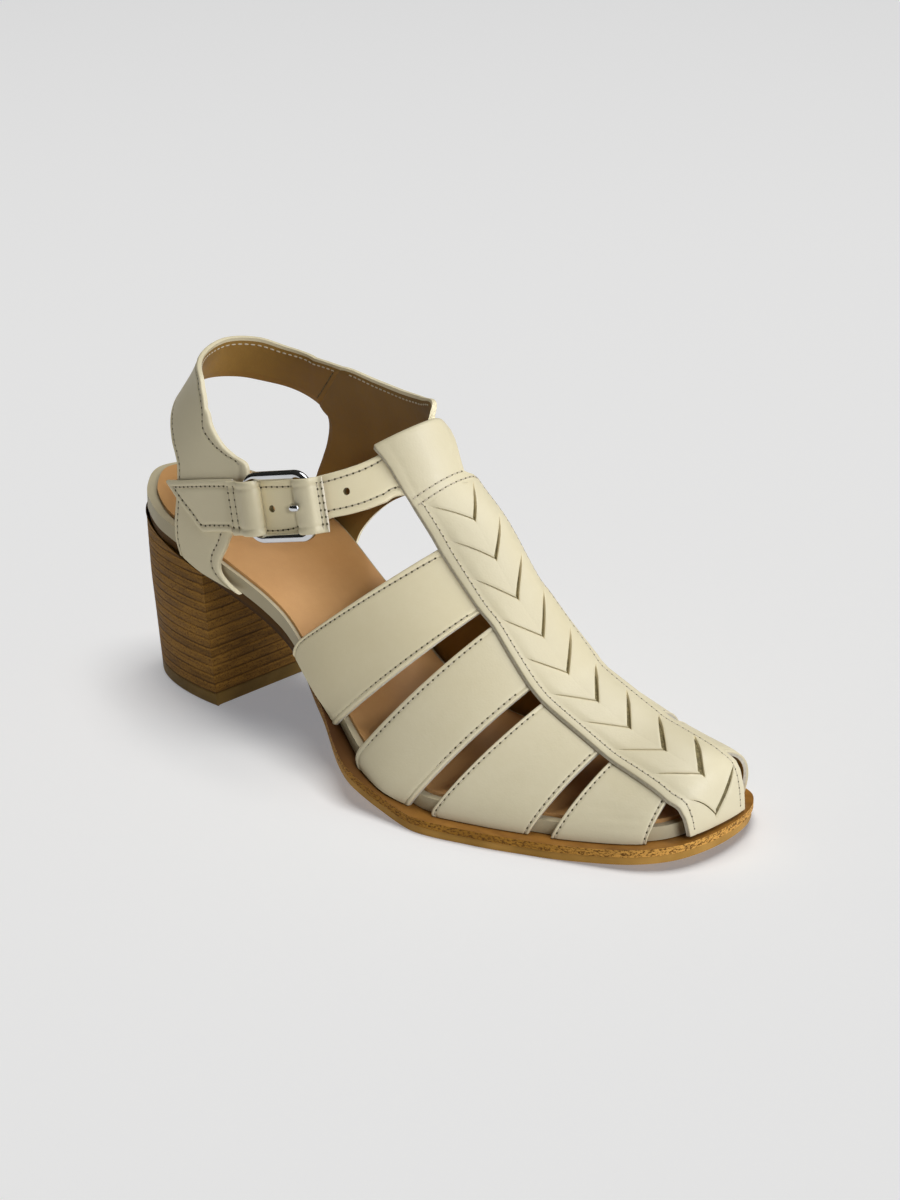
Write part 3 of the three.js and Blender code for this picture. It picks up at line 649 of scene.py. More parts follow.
def tube_faces(rings, sides):
    faces = []
    for start in range(0, (rings - 1) * sides, sides):
        for k in range(sides):
            after = start + (k + 1) % sides
            faces.append([start + k, after, after + sides, start + k + sides])
    return faces + [list(range(sides))[::-1], list(range((rings - 1) * sides, rings * sides))]


# Shader maths: a socket that takes part in Python expressions, and a finish that adds any node
NOISE_SPAN = (0.2, 0.8)


class Value:
    def __init__(self, look, socket):
        self.look, self.socket = look, socket

    def math(self, operation, a, b):
        return self.look.node("ShaderNodeMath", {"operation": operation}, {0: a, 1: b})

    def __add__(self, other):
        return self.math("ADD", self, other)

    def __sub__(self, other):
        return self.math("SUBTRACT", self, other)

    def __rsub__(self, other):
        return self.math("SUBTRACT", other, self)

    def __mul__(self, other):
        return self.math("MULTIPLY", self, other)

    __radd__ = __add__
    __rmul__ = __mul__


class Look:
    """One procedural finish around a Principled shader."""

    def __init__(self, name, constants=None):
        self.material = bpy.data.materials.new(name)
        self.material.use_nodes = True
        self.tree = self.material.node_tree
        self.shader = self.tree.nodes["Principled BSDF"]
        for socket, value in (constants or {}).items():
            self.shader.inputs[socket].default_value = value
        self.spot = self.node("ShaderNodeTexCoord", output="Object")

    def feed(self, socket, value):
        if isinstance(value, Value):
            self.tree.links.new(value.socket, socket)
        else:
            socket.default_value = value

    def node(self, kind, settings=None, sockets=None, output=0):
        made = self.tree.nodes.new(kind)
        for key, value in (settings or {}).items():
            setattr(made, key, value)
        for key, value in (sockets or {}).items():
            self.feed(made.inputs[key], value)
        return Value(self, made.outputs[output])

    def noise(self, scale, detail=3, rough=0.5, stretch=None):
        spot = self.spot
        if stretch:
            spot = self.node("ShaderNodeMapping", {}, {"Vector": spot, "Scale": stretch})
        sockets = {"Vector": spot, "Scale": scale, "Detail": detail, "Roughness": rough}
        return self.node("ShaderNodeTexNoise", {}, sockets)

    def range(self, value, low, high, to_low=0, to_high=1):
        sockets = {"Value": value, "From Min": low, "From Max": high, "To Min": to_low, "To Max": to_high}
        return self.node("ShaderNodeMapRange", {"interpolation_type": "SMOOTHSTEP"}, sockets)

    def mix(self, factor, a, b):
        return self.node("ShaderNodeMix", {"data_type": "RGBA"}, {0: factor, 6: a, 7: b}, output=2)

    def colour(self, value):
        self.feed(self.shader.inputs["Base Color"], value)

    def heelwards(self, span):
        """One towards the heel and none towards the toe, blended over a span in millimetres from the back."""
        place_x = self.node("ShaderNodeSeparateXYZ", {}, {0: self.spot}, output="X")
        return 1 - self.range(place_x, *((far + ORIGIN[0]) * MM for far in span))

    def rough(self, value, low, high):
        """Roughness between two ends, by a noise."""
        self.feed(self.shader.inputs["Roughness"], self.range(value, *NOISE_SPAN, low, high))

    def relief(self, *layers):
        """Bumps stacked on each other, each a height, a depth in millimetres and a strength."""
        normal = None
        for height, depth, strength in layers:
            sockets = {"Height": height, "Distance": depth * MM, "Strength": strength}
            if normal is not None:
                sockets["Normal"] = normal
            normal = self.node("ShaderNodeBump", {}, sockets)
        self.feed(self.shader.inputs["Normal"], normal)


def rgb(red, green, blue):
    return (red, green, blue, 1)


def grained_leather(name, light, dark, roughness):
    look = Look(name)
    cloud = look.noise(28, detail=3)
    pores = look.node("ShaderNodeTexVoronoi", {"feature": "F1"}, {"Vector": look.spot, "Scale": 1500})
    creasing = look.noise(420, detail=4, rough=0.6)
    fine = look.noise(2600, detail=2)
    shade = look.range(cloud, 0.3, 0.72) * 0.75 + look.range(creasing, 0.35, 0.75) * 0.25
    look.colour(look.mix(shade, dark, light))
    look.rough(creasing, roughness - 0.07, roughness + 0.09)
    look.relief((creasing, 0.12, 0.35), (pores, 0.05, 0.4), (fine, 0.03, 0.4))
    return look.material


def mottled(name, light, dark, grain, roughness, spread=None, relief=None, constants=None):
    """A plain finish: one noise mixes two colours and carries the roughness and the relief."""
    look = Look(name, constants)
    noise = look.noise(**grain)
    shade = look.range(noise, *spread) if spread else noise
    look.colour(look.mix(shade, dark, light))
    look.rough(noise, *roughness)
    if relief:
        look.relief((noise, *relief))
    return look.material


# Spans along the shoe, from the back: painted shade darkens the sole and its ledge towards the waist, and the
# sole edge lightens towards the toe
WAIST_SHADE_SPAN = (88, 122)
LEDGE_SHADE_SPAN = (110, 185)
LIGHT_TOE = (190, 232)


def ledge_leather():
    look = Look("burnished_ledge_waist_shade", {"Specular IOR Level": 0.1})
    cloud = look.noise(60, detail=4)
    streak = look.noise(300, detail=3, stretch=(0.3, 1, 1))
    tone = look.range(cloud, 0.3, 0.7) * 0.6 + look.range(streak, 0.3, 0.7) * 0.4
    tan = look.mix(tone, rgb(0.19, 0.08, 0.014), rgb(0.4, 0.185, 0.036))
    # Painted shade: the ledge fades to near black towards the waist
    look.colour(look.mix(look.heelwards(LEDGE_SHADE_SPAN), tan, rgb(0.055, 0.02, 0.005)))
    look.rough(cloud, 0.32, 0.48)
    look.relief((streak, 0.08, 0.4))
    return look.material


def fibre_edge(name, torn):
    """Cut sole leather, lighter towards the toe and darkened with painted shade at the waist: smooth at the
    lips, torn into dark fibres between them.
    """
    look = Look(name, {"Specular IOR Level": 0.12})
    fibre = look.noise(1500, detail=5, rough=0.75, stretch=(0.6, 0.6, 1.2))
    cloud = look.noise(70, detail=2)
    pit = look.range(fibre, 0.46, 0.6)
    base = look.mix(look.range(cloud, 0.3, 0.7), rgb(0.34, 0.155, 0.018), rgb(0.46, 0.22, 0.03))
    base = look.mix(1 - look.heelwards(LIGHT_TOE), base, rgb(0.72, 0.37, 0.08))
    tan = look.mix(pit * torn, base, rgb(0.12, 0.05, 0.008))
    look.colour(look.mix(look.heelwards(WAIST_SHADE_SPAN), tan, rgb(0.1, 0.045, 0.008)))
    look.rough(fibre, 0.5, 0.75)
    look.relief((fibre, 0.3 * torn, 0.7))
    return look.material


def gum_rubber(name, dark, light, dim):
    """Matt gum; by a share, painted shade darkens it at the waist."""
    look = Look(name, {"Specular IOR Level": 0.15})
    cloud = look.noise(80, detail=3)
    grit = look.noise(1200, detail=3)
    gum = look.mix(look.range(cloud, 0.3, 0.7), dark, light)
    look.colour(look.mix(look.heelwards(WAIST_SHADE_SPAN) * dim, gum, rgb(0.07, 0.032, 0.006)))
    look.rough(grit, 0.5, 0.66)
    look.relief((grit, 0.06, 0.4))
    return look.material


LAYER = 3.35


def stacked_leather():
    """Layers of sole leather, each with its own brown, streaked along the cut and dark in the joints."""
    look = Look("stacked_leather", {"Specular IOR Level": 0.1})
    place_z = look.node("ShaderNodeSeparateXYZ", {}, {0: look.spot}, output="Z")
    layer = (place_z - (HEEL_LIFT + GAP) * MM) * (1 / (LAYER * MM))
    number = layer.math("FLOOR", layer, 0.0)
    tone = look.node("ShaderNodeTexWhiteNoise", {"noise_dimensions": "1D"}, {"W": number})
    across = layer.math("FRACT", layer, 0.0)
    streak = look.noise(260, detail=5, rough=0.7, stretch=(0.35, 0.35, 3))
    grit = look.noise(1500, detail=4, rough=0.7, stretch=(1, 1, 1.6))
    band = look.range(across, 0, 0.14) * (1 - look.range(across, 0.86, 1))
    lip = look.range(across, 0.6, 0.78) * (1 - look.range(across, 0.8, 0.9))
    light = band * 0.34 + look.range(streak, 0.35, 0.68) * 0.36 + tone * 0.16 + lip * 0.3
    warm = look.mix(look.range(light, 0.05, 1), rgb(0.1, 0.045, 0.006), rgb(0.38, 0.19, 0.035))
    look.colour(look.mix(look.range(grit, 0.5, 0.64) * 0.8, warm, rgb(0.06, 0.024, 0.004)))
    look.rough(streak, 0.55, 0.75)
    look.relief((streak, 0.16, 0.5), (grit, 0.1, 0.5))
    return look.material


# Finishes of the sandal
FIBRE = dict(scale=900, detail=4, rough=0.7)
CUT = dict(grain=FIBRE, spread=(0.3, 0.7), roughness=(0.65, 0.85), relief=(0.15, 0.6))
IVORY = grained_leather("ivory_leather", rgb(0.77, 0.684, 0.455), rgb(0.73, 0.638, 0.405), 0.46)
# Rand: the cream leather of the uppers, darkened to paint the shade on the rand wall
RAND_PAINTED_SHADE = grained_leather("rand_leather_painted_shade", rgb(0.53, 0.46, 0.29), rgb(0.47, 0.4, 0.245), 0.5)
LINING = grained_leather("lining_leather", rgb(0.39, 0.22, 0.042), rgb(0.29, 0.157, 0.026), 0.66)
# Quarter and strap lining: the band's lining leather made darker, painted shade inside the ankle
QUARTER_LINING_SHADE = grained_leather("quarter_lining_painted_shade", rgb(0.27, 0.15, 0.029), rgb(0.19, 0.103, 0.017), 0.66)
SOCK_LEATHER = grained_leather("sock_leather", rgb(0.58, 0.315, 0.115), rgb(0.5, 0.25, 0.08), 0.44)
CUT_EDGE = mottled("cut_edge", rgb(0.74, 0.69, 0.56), rgb(0.6, 0.54, 0.41), **CUT)
STRIP_EDGE = mottled("strip_edge", rgb(0.6, 0.545, 0.41), rgb(0.44, 0.39, 0.28), **CUT)
THREAD = mottled("ivory_thread", rgb(0.68, 0.6, 0.44), rgb(0.5, 0.43, 0.29),
                 grain=dict(scale=3200, detail=1), roughness=(0.6, 0.75), relief=(0.06, 0.5))
# Needle holes: small dark discs, painted shade in the holes
NEEDLE_HOLE_SHADE = mottled("needle_hole_painted_shade", rgb(0.13, 0.105, 0.045), rgb(0.06, 0.047, 0.018),
                 grain=dict(scale=1800), roughness=(0.75, 0.9))
LEDGE_TOP = ledge_leather()
SOLE_EDGE = fibre_edge("sole_leather_edge", 1)
SOLE_LIP = fibre_edge("sole_leather_lip", 0.25)
HEEL_GUM = gum_rubber("heel_gum", rgb(0.17, 0.1, 0.02), rgb(0.25, 0.15, 0.035), 0)
SOLE_GUM = gum_rubber("sole_gum", rgb(0.36, 0.19, 0.036), rgb(0.5, 0.27, 0.06), 1)
STACK = stacked_leather()
METAL = mottled("polished_metal", rgb(0.74, 0.75, 0.77), rgb(0.62, 0.63, 0.65),
                grain=dict(scale=350), roughness=(0.08, 0.16), constants={"Metallic": 1})
SLIT = mottled("slit_shadow", rgb(0.26, 0.21, 0.09), rgb(0.1, 0.077, 0.026),
               grain=FIBRE, spread=(0.35, 0.7), roughness=(0.75, 0.9))


# Side straps
CREASES = table(
    "strap side along across length width depth",
    (4, "outer", 0.42, 0.55, 0.16, 0.05, 0.22), (4, "outer", 0.5, 0.4, 0.14, 0.04, 0.16),
    (4, "outer", 0.3, 0.62, 0.14, 0.05, 0.14), (1, "outer", 0.35, 0.5, 0.3, 0.16, 0.25),
    (2, "outer", 0.4, 0.5, 0.3, 0.14, 0.2), (3, "outer", 0.45, 0.45, 0.28, 0.12, 0.18),
    (1, "inner", 0.4, 0.5, 0.3, 0.16, 0.25), (2, "inner", 0.45, 0.5, 0.3, 0.14, 0.2),
    (2, "outer", 0, 0.5, 0.34, 0.22, -2.2), (1, "outer", 0, 0.5, 0.34, 0.22, -0.8),
    (4, "inner", 0.42, 1, 0.45, 0.4, -2.6),
)
CREASE_SLANT = 0.25


def creases(number, side):
    """Soft troughs across a strap where the leather was drawn over the last."""
    rows = [row for row in CREASES if row["strap"] == number and row["side"] == side]

    def wave(t, s):
        total = 0 * (t + s)
        for row in rows:
            slant = t - row["along"] - CREASE_SLANT * (s - row["across"])
            total = total - row["depth"] * bump(slant, row["width"]) * bump(s - row["across"], row["length"])
        return total

    return wave


STRAP_SEWN = (0.03, 0.86)
STRAP_STEPS = 60
CORNER = dict(along=0.12, across={1: 0.16, 2: 0.16, 3: 0.06})


def side_strap(number, side):
    rear, front = ROW[f"rear_{number}"], ROW[f"front_{number}"]
    sign = -1 if side == "outer" else 1

    def spot(t, s):
        rounding = CORNER["across"].get(number, 0) * np.clip(1 - t / CORNER["along"], 0, 1) ** 2
        u = lerp(rear, front, lerp(rounding, 1, s))
        edge = LAST_AT["left"](u) + STRAP_TUCK if sign < 0 else LAST_AT["right"](u) - STRAP_TUCK
        return last_spot(u, lerp(sign, v_at(u, edge), t))

    looks = [IVORY, LINING, CUT_EDGE]
    piece = leather(f"strap_{side}_{number}", spot, STRAP_STEPS, WALL, looks, wave=creases(number, side))
    dress(piece, "ivory_leather", "upper")
    for s_edge in (0, 1):
        sew_edge(spot, s_edge, *STRAP_SEWN)


for strap_number in (1, 2, 3, 4):
    for strap_side in ("outer", "inner"):
        side_strap(strap_number, strap_side)


# Woven centre strip
STRIP_STEPS = 600


def strip_run():
    u = np.linspace(0, len(LAST) - 1, STRIP_STEPS)
    return u, run_along(last_point(u, 0 * u))


STRIP_U, STRIP_RUN = strip_run()
STRIP_TOTAL = STRIP_RUN[-1]
STRIP_COLUMNS = np.array([
    0, 0.05, 0.15, 0.3, 0.9, 1.4, 1.9, 2.4, 3, 4, 5.2, 6.4, 7.6, 8.8, 9.6, 9.9, 10, 10.1, 10.6, 11.8, 13.4,
    15, 16.6, 18.2, 19.6, 20.8, 21.6, 22.2, 22.7, 23.2, 23.7, 24.2, 24.7, 24.85, 24.95, STRIP_ACROSS,
])
STRIP_W = 2 * STRIP_COLUMNS / STRIP_ACROSS - 1


def strip_spot(run, w):
    u = np.interp(run, STRIP_RUN, STRIP_U)
    shoulder = np.clip((run - LOOP_STITCHES[0]) / SHOULDER["along"], 0, 1)
    inner_edge = LAST_AT["right"](u) - SHOULDER["narrow"] * (1 - shoulder**2 * (3 - 2 * shoulder))
    y = lerp(LAST_AT["left"](u), inner_edge, (w + 1) / 2)
    return last_spot(u, v_at(u, y))


def slit_open(w, toewards):
    """How far a slit gapes across the strip, and its half width: wide on the inner arm only."""
    inner = (w - PLAIT_APEX) / (lerp(SLIT_INNER["end"], SLIT_INNER["end_toe"], toewards) - PLAIT_APEX)
    outer = (w - PLAIT_APEX) / (SLIT_OUTER["end"] - PLAIT_APEX)
    gape = 1 - np.clip(np.where(w >= PLAIT_APEX, inner, outer), -1, 1) ** SLIT_GAPE["sharp"]
    half = np.where(w >= PLAIT_APEX, SLIT_INNER["half"], SLIT_OUTER["half"]) * gape
    half = half * (1 + SLIT_TOE["wider"] * toewards ** SLIT_TOE["sharp"])
    return gape, np.maximum(half, SLIT_GAPE["least"])


SLIT_ROWS = table(
    "before side extra drop deep",
    (-0.5, 0, 0, 0, 0), (-0.3, 0, 0, 0, 0), (-0.14, 0, 0, 0, 0), (0, -1, 0.25, 0, 0), (0, -1, 0.08, 0.05, 0),
    (0, -1, 0, 0.16, 0), (0, -0.9, 0, 0, 1), (0, 0.9, 0, 0, 1), (0, 1, 0, 0.16, 0), (0, 1, 0.08, 0.05, 0),
    (0, 1, 0.25, 0, 0), (0.14, 0, 0, 0, 0), (0.3, 0, 0, 0, 0),
)
LOOP_ROWS = (0, 1.5, 3, 6, 9, 12, 14, 15.4, 16.4, 17.4, 18.2, 19, 19.8, 20.6)
TOE_ROWS = (0.25, 0.5, 0.75, 1)
LIP = dict(radius=2.1, turn=150, steps=9, under=0.735)
STRIP_LOOKS = [IVORY, LINING, STRIP_EDGE, SLIT]
STRIP_ANGLE = 50


def strip_rows():
    """Run, height and sunk flag of every row of the strip, for each column."""
    runs = [np.full_like(STRIP_W, run) for run in LOOP_ROWS]
    lifts = [0 * STRIP_W for _ in LOOP_ROWS]
    sunk = [0 * STRIP_W for _ in LOOP_ROWS]
    count = int((STRIP_TOTAL - PLAIT_START) // PLAIT_PITCH)
    for k in range(1, count + 1):
        toewards = (k - 1) / (count - 1)
        gape, half = slit_open(STRIP_W, toewards)
        cover = np.clip(gape * SLIT_GAPE["cover"], 0, 1)
        depth = lerp(SLIT_DEPTH["strip"], SLIT_DEPTH["toe"], toewards ** SLIT_TOE["sharp"])
        reach = lerp(PLAIT_REACH["inner"], PLAIT_REACH["inner_toe"], toewards)
        arms = np.where(STRIP_W < PLAIT_APEX, PLAIT_REACH["outer"], reach) * np.abs(STRIP_W - PLAIT_APEX)
        apex = PLAIT_START + k * PLAIT_PITCH
        for row in SLIT_ROWS:
            along = row["before"] * PLAIT_PITCH + row["side"] * half + np.sign(row["side"]) * row["extra"]
            rising = (row["before"] + 0.5) if row["side"] == 0 and row["before"] > 0 else row["before"]
            share = np.where(along < 0, 1 + np.minimum(rising, 0), row["before"])
            runs.append(apex + along - arms)
            lifts.append(cover * PLAIT_LIFT * share - row["drop"] * cover - row["deep"] * depth * cover)
            sunk.append(gape * (row["deep"] > 0))
    tail = PLAIT_START + (count + 0.5) * PLAIT_PITCH - arms
    for share in TOE_ROWS:
        runs.append(lerp(np.minimum(tail, STRIP_TOTAL), STRIP_TOTAL, share))
        lifts.append(0 * STRIP_W)
        sunk.append(0 * STRIP_W)
    runs = np.minimum(np.maximum.accumulate(np.array(runs), axis=0), STRIP_TOTAL)
    return runs, np.array(lifts), np.array(sunk)


def woven_strip():
    runs, lifts, sunk = strip_rows()
    w = np.broadcast_to(STRIP_W, runs.shape)
    points, normals = strip_spot(runs, w * (1 - STRIP_BEVEL))
    base, base_normals = strip_spot(runs, w)
    edge = np.minimum(STRIP_COLUMNS, STRIP_ACROSS - STRIP_COLUMNS)
    lift = STRIP_RAISE + lifts - edge_shape(edge, **STRIP_CUT)
    lift = lift - LOOP_DIP["depth"] * sum(bump(runs - at, LOOP_DIP["half"]) for at in LOOP_STITCHES)
    outer = points + normals * lift[..., None]
    inner = base + base_normals * lerp(STRIP_GAP, -STRIP_SINK, np.clip(edge / STRAP_TUCK, 0, 1))[:, None]
    back = unit(outer[0] - outer[1])
    angles = np.linspace(0, math.radians(LIP["turn"]), LIP["steps"] + 1)[:0:-1]
    lip = [outer[0] + LIP["radius"] * (back * math.sin(a) + normals[0] * (math.cos(a) - 1)) for a in angles]
    under_lip = [inner[0] + LIP["under"] * back * math.sin(a) for a in angles]
    outer, inner = np.concatenate([lip, outer]), np.concatenate([under_lip, inner])
    rows = len(outer) - 1
    piece = thicken("woven_strip", rows, len(STRIP_W) - 1, outer, inner, STRIP_LOOKS)
    sunk = np.concatenate([np.zeros((LIP["steps"], len(STRIP_W))), sunk])
    for face in piece.data.polygons:
        if face.material_index == 0:
            depths = [sunk[divmod(v, rows + 1)[::-1]] for v in face.vertices]
            if min(np.sign(depths)) > 0 and max(depths) > SLIT_GAPE["shows"]:
                face.material_index = STRIP_LOOKS.index(SLIT)
    dress(clean(piece, STRIP_ANGLE), "ivory_leather", "upper")
    sew_strip()


# Stitch rows down both edges of the strip, and across its loop
STRIP_STITCH = {-1: 2.2, 1: 3.3}
STRIP_SEW = dict(sink=0.03, tail=2, steps=240, hole=0.75)
LOOP_SEW = dict(sink=0.13, reach=0.88, steps=40, hole=0.7)


def sew_strip():
    for side, inset in STRIP_STITCH.items():
        run = np.linspace(LOOP_STITCHES[1], STRIP_TOTAL - STRIP_SEW["tail"], STRIP_SEW["steps"])
        points, normals = strip_spot(run, side * (1 - 2 * inset / STRIP_ACROSS))
        stitch(points + normals * (STRIP_RAISE - STRIP_SEW["sink"]), normals, STRIP_SEW["hole"])
    for at in LOOP_STITCHES:
        across = np.linspace(-LOOP_SEW["reach"], LOOP_SEW["reach"], LOOP_SEW["steps"])
        points, normals = strip_spot(0 * across + at, across)
        stitch(points + normals * (STRIP_RAISE - LOOP_SEW["sink"]), normals, LOOP_SEW["hole"])



woven_strip()


# Quarters, ankle band and strap
QUARTER_STEPS = 180
ANKLE_STEPS = 190
# The ankle strap's lining takes the darker copy of the lining: painted shade
ANKLE_LOOKS = [IVORY, QUARTER_LINING_SHADE, IVORY, SLIT]
PUNCH = dict(vertices=28, depth=8 * MM)


def rung_spot(rows):
    low, top = rung_ends(rows, "low"), rung_ends(rows, "top")

    def spot(t, s):
        turn_height = lerp(route(low, t), route(top, t), np.asarray(s)[..., None])
        return leg_spot(turn_height[..., 0], turn_height[..., 1])

    return spot


def quarters():
    spot = rung_spot(QUARTER)
    looks = [IVORY, LINING, IVORY]
    piece = leather("quarter_and_band", spot, QUARTER_STEPS, WALL, looks, folded=(0.4, 0.96), tucked=0.955)
    dress(piece, "ivory_leather", "upper")
    sew_edge(spot, 0, 0.02, 0.95, steps=300)
    sew_edge(spot, 1, 0.05, 0.24, steps=60)
    sew_edge(spot, 1, 0.38, 0.95, steps=200)
    sew_inside(spot, 1, 0.55, 0.95)


def ankle_strap():
    spot = rung_spot(ANKLE_STRAP)
    piece = leather("ankle_strap", spot, ANKLE_STEPS, WALL, ANKLE_LOOKS, folded=(0.385, 0.6))
    for hole in STRAP_HOLES:
        punch(piece, hole)
    dress(piece, "ivory_leather", "upper")
    for s_edge in (0, 1):
        sew_edge(spot, s_edge, 0.03, 0.99, steps=300)
    sew_inside(spot, 1, 0.41, 0.555)


def punch(piece, hole):
    """Cuts a round hole through the strap."""
    turn = -leg_turn(hole["x"], hole["z"])
    point, normal = leg_spot(turn, hole["z"])
    bpy.ops.object.select_all(action="DESELECT")
    bpy.ops.mesh.primitive_cylinder_add(
        radius=HOLE_RADIUS * MM, location=(point + ORIGIN) * MM,
        rotation=Vector(normal).to_track_quat("Z", "Y").to_euler(), **PUNCH)
    cutter = bpy.context.object
    wear(cutter, ANKLE_LOOKS)
    for face in cutter.data.polygons:
        face.material_index = ANKLE_LOOKS.index(SLIT)
    apply(piece, "BOOLEAN", operation="DIFFERENCE", object=cutter, solver="EXACT")
    bpy.data.objects.remove(cutter)
    smooth(piece, LEATHER_ANGLE)


# Seam in the lining where the band is joined to the inner quarter: a thin dark ridge, painted shadow of the
# step at the seam
SEAM = dict(start=(49.6, 97.4), end=(58.9, 108.5), half=0.22, proud=0.1, sunk=0.03, thick=0.2)


def lining_seam_shadow_line():
    steps, sides = 24, 4
    piece, i, j = new_grid("lining_seam_shadow_line", steps, sides, [SLIT])
    x, z = (lerp(SEAM["start"][k], SEAM["end"][k], i / steps) for k in (0, 1))
    aside = SEAM["half"] * (2 * j / sides - 1)
    points, normals = leg_spot(leg_turn(x + aside, z), z)
    ridge = SEAM["proud"] * (1 - (2 * j / sides - 1) ** 2) - SEAM["sunk"]
    place(piece, points - normals * (WALL + ridge)[:, None])
    apply(piece, "SOLIDIFY", thickness=SEAM["thick"] * MM, offset=0)
    dress(clean(piece), "tan_leather", "upper")


quarters()
ankle_strap()
lining_seam_shadow_line()


# Pointed patch
def strap_patch():
    low, high = curve(PATCH, "x", "low"), curve(PATCH, "x", "high")
    start, corner, end = (PATCH[k]["x"] for k in (0, PATCH_CORNER, -1))
    share = round(PATCH_STEPS * (corner - start) / (end - start)) / PATCH_STEPS

    def spot(t, s):
        x = np.where(t < share, lerp(start, corner, t / share), lerp(corner, end, (t - share) / (1 - share)))
        z = lerp(low(x), high(x), s)
        return leg_spot(-leg_turn(x, z), z)

    looks = [IVORY, IVORY, CUT_EDGE]
    piece = leather("strap_patch", spot, PATCH_STEPS, PATCH_THICK, looks, base=PATCH_THICK + PATCH_GAP)
    dress(piece, "ivory_leather", "strap_anchor")
    for s_edge in (0, 1):
        sew_edge(spot, s_edge, *PATCH_SEWN, lift=PATCH_THICK - PATCH_SINK, inset=PATCH_INSET)


strap_patch()


# Buckle: flat frame on the strap, X along it, Y up across it, Z out of the leather
def strap_frame():
    tilt = math.tan(math.radians(BUCKLE["tilt"]))

    def on_leg(along, up):
        x, z = BUCKLE["x"] + along, BUCKLE["z"] + up
        return leg_point(-leg_turn(x, z), z)

    near = 0.5
    ahead = unit(on_leg(near, near * tilt) - on_leg(-near, -near * tilt))
    out = unit(np.cross(ahead, on_leg(0, near) - on_leg(0, -near)))
    return on_leg(0, 0), np.stack([ahead, np.cross(out, ahead), out])


STRAP_AT, STRAP_AXES = strap_frame()


def on_strap(along, across, lift):
    along, across, lift = np.broadcast_arrays(along, across, lift)
    return STRAP_AT + np.stack([along, across, lift], -1) @ STRAP_AXES


PATH_STEPS = 721
STRAIGHT = 1e6
SHARE_STEP = 0.002
ROUTE_STEP = 0.01
TORUS = dict(major_segments=192, minor_segments=28, major_radius=2, minor_radius=1)
METAL_ANGLE = 60
PRONG_TIP = dict(start=0.92, flat=0.85)


def buckle_path(share):
    """Rounded rectangle through the middle of the frame's bar, by share of its length."""
    corner = BUCKLE["corner"]
    half = np.array([BUCKLE["long"], BUCKLE["tall"]]) / 2 - BUCKLE["rod"] - corner
    turns = np.linspace(0, 2 * math.pi, PATH_STEPS)
    spot = np.stack([np.cos(turns), np.sin(turns)], -1)
    path = corner * spot + half * np.clip(spot * STRAIGHT, -1, 1)
    run = run_along(path)
    at = (share % 1) * run[-1]
    return np.stack([np.interp(at, run, path[:, k]) for k in range(2)], -1)


def buckle_frame():
    bpy.ops.object.select_all(action="DESELECT")
    bpy.ops.mesh.primitive_torus_add(**TORUS)
    piece = bpy.context.object
    piece.name = piece.data.name = "buckle_frame_bar"
    spots = corners(piece)
    share = np.arctan2(spots[:, 1], spots[:, 0]) / (2 * math.pi)
    aside = np.linalg.norm(spots[:, :2], axis=1) - TORUS["major_radius"]
    along = unit(buckle_path(share + SHARE_STEP) - buckle_path(share - SHARE_STEP))
    path = buckle_path(share) + np.stack([along[:, 1], -along[:, 0]], -1) * aside[:, None] * BUCKLE["rod"]
    lift = BUCKLE["stand"] + spots[:, 2] * BUCKLE["rod"] * BUCKLE["flat"]
    place(piece, on_strap(path[:, 0], path[:, 1], lift))
    wear(piece, [METAL])
    dress(clean(piece, METAL_ANGLE), "polished_metal", "buckle_frame")


def buckle_prong():
    sides, steps = 20, 40
    piece, i, j = new_grid("buckle_tongue", steps, sides, [METAL])
    rows = [[row[key] for key in ("along", "lift", "thick")] for row in PRONG]
    t = i / steps
    spine = route(rows, t)
    ahead = unit((route(rows, t + ROUTE_STEP) - route(rows, t - ROUTE_STEP))[:, :2])
    tip = np.clip((t - PRONG_TIP["start"]) / (1 - PRONG_TIP["start"]), 0, 1)
    end = np.sqrt(np.clip(1 - tip**2, 0, 1))
    turn = 2 * math.pi * j / sides
    size = spine[:, 2] * end
    rise = size * np.sin(turn) * PRONG_TIP["flat"]
    along, lift = spine[:, 0] - ahead[:, 1] * rise, spine[:, 1] + ahead[:, 0] * rise
    place(piece, on_strap(along, size * np.cos(turn), lift))
    dress(clean(piece, METAL_ANGLE, fill=True), "polished_metal", "buckle_prong")


def buckle_fold(end, sign):
    """Leather folded round a side bar of the frame, its tail sewn to the strap."""
    rows = FOLDS[end]

    def spot(t, s):
        t, s = np.broadcast_arrays(t, s)
        here = route(rows, t)
        ahead = unit(route(rows, t + ROUTE_STEP) - route(rows, t - ROUTE_STEP))
        across = lerp(-FOLD_TALL / 2, FOLD_TALL / 2, s)
        points = on_strap(sign * (FOLD_BAR + here[..., 0]), across, here[..., 1])
        flip = np.stack([sign * ahead[..., 1], 0 * across, -ahead[..., 0]], -1)
        return points, flip @ STRAP_AXES

    piece = leather(f"buckle_leather_{end}", spot, FOLD_STEPS, FOLD_THICK, [IVORY, LINING, CUT_EDGE])
    dress(piece, "ivory_leather", f"buckle_wrap_{end}")
    for tail in FOLD_SEW["tails"]:
        s = np.linspace(*FOLD_SEW["across"], FOLD_SEW["steps"])
        points, normals = spot(0 * s + tail, s)
        stitch(points - normals * FOLD_SEW["sink"], normals)


buckle_frame()
buckle_prong()
buckle_fold("rear", -1)
buckle_fold("front", 1)


# Sole layers: a plan laid as a grid, thickened between two heights, its rims rounded
LAYER_STEPS = 150
LAYER_ACROSS = 18
RIM = dict(segments=4, limit_method="ANGLE", angle_limit=math.radians(55))
RIM_ANGLE = 50
SOCK_GAP = 0.02
GUM_GAP = 0.05
OUTSOLE_START = HEEL[-1]["breast"] / LENGTH


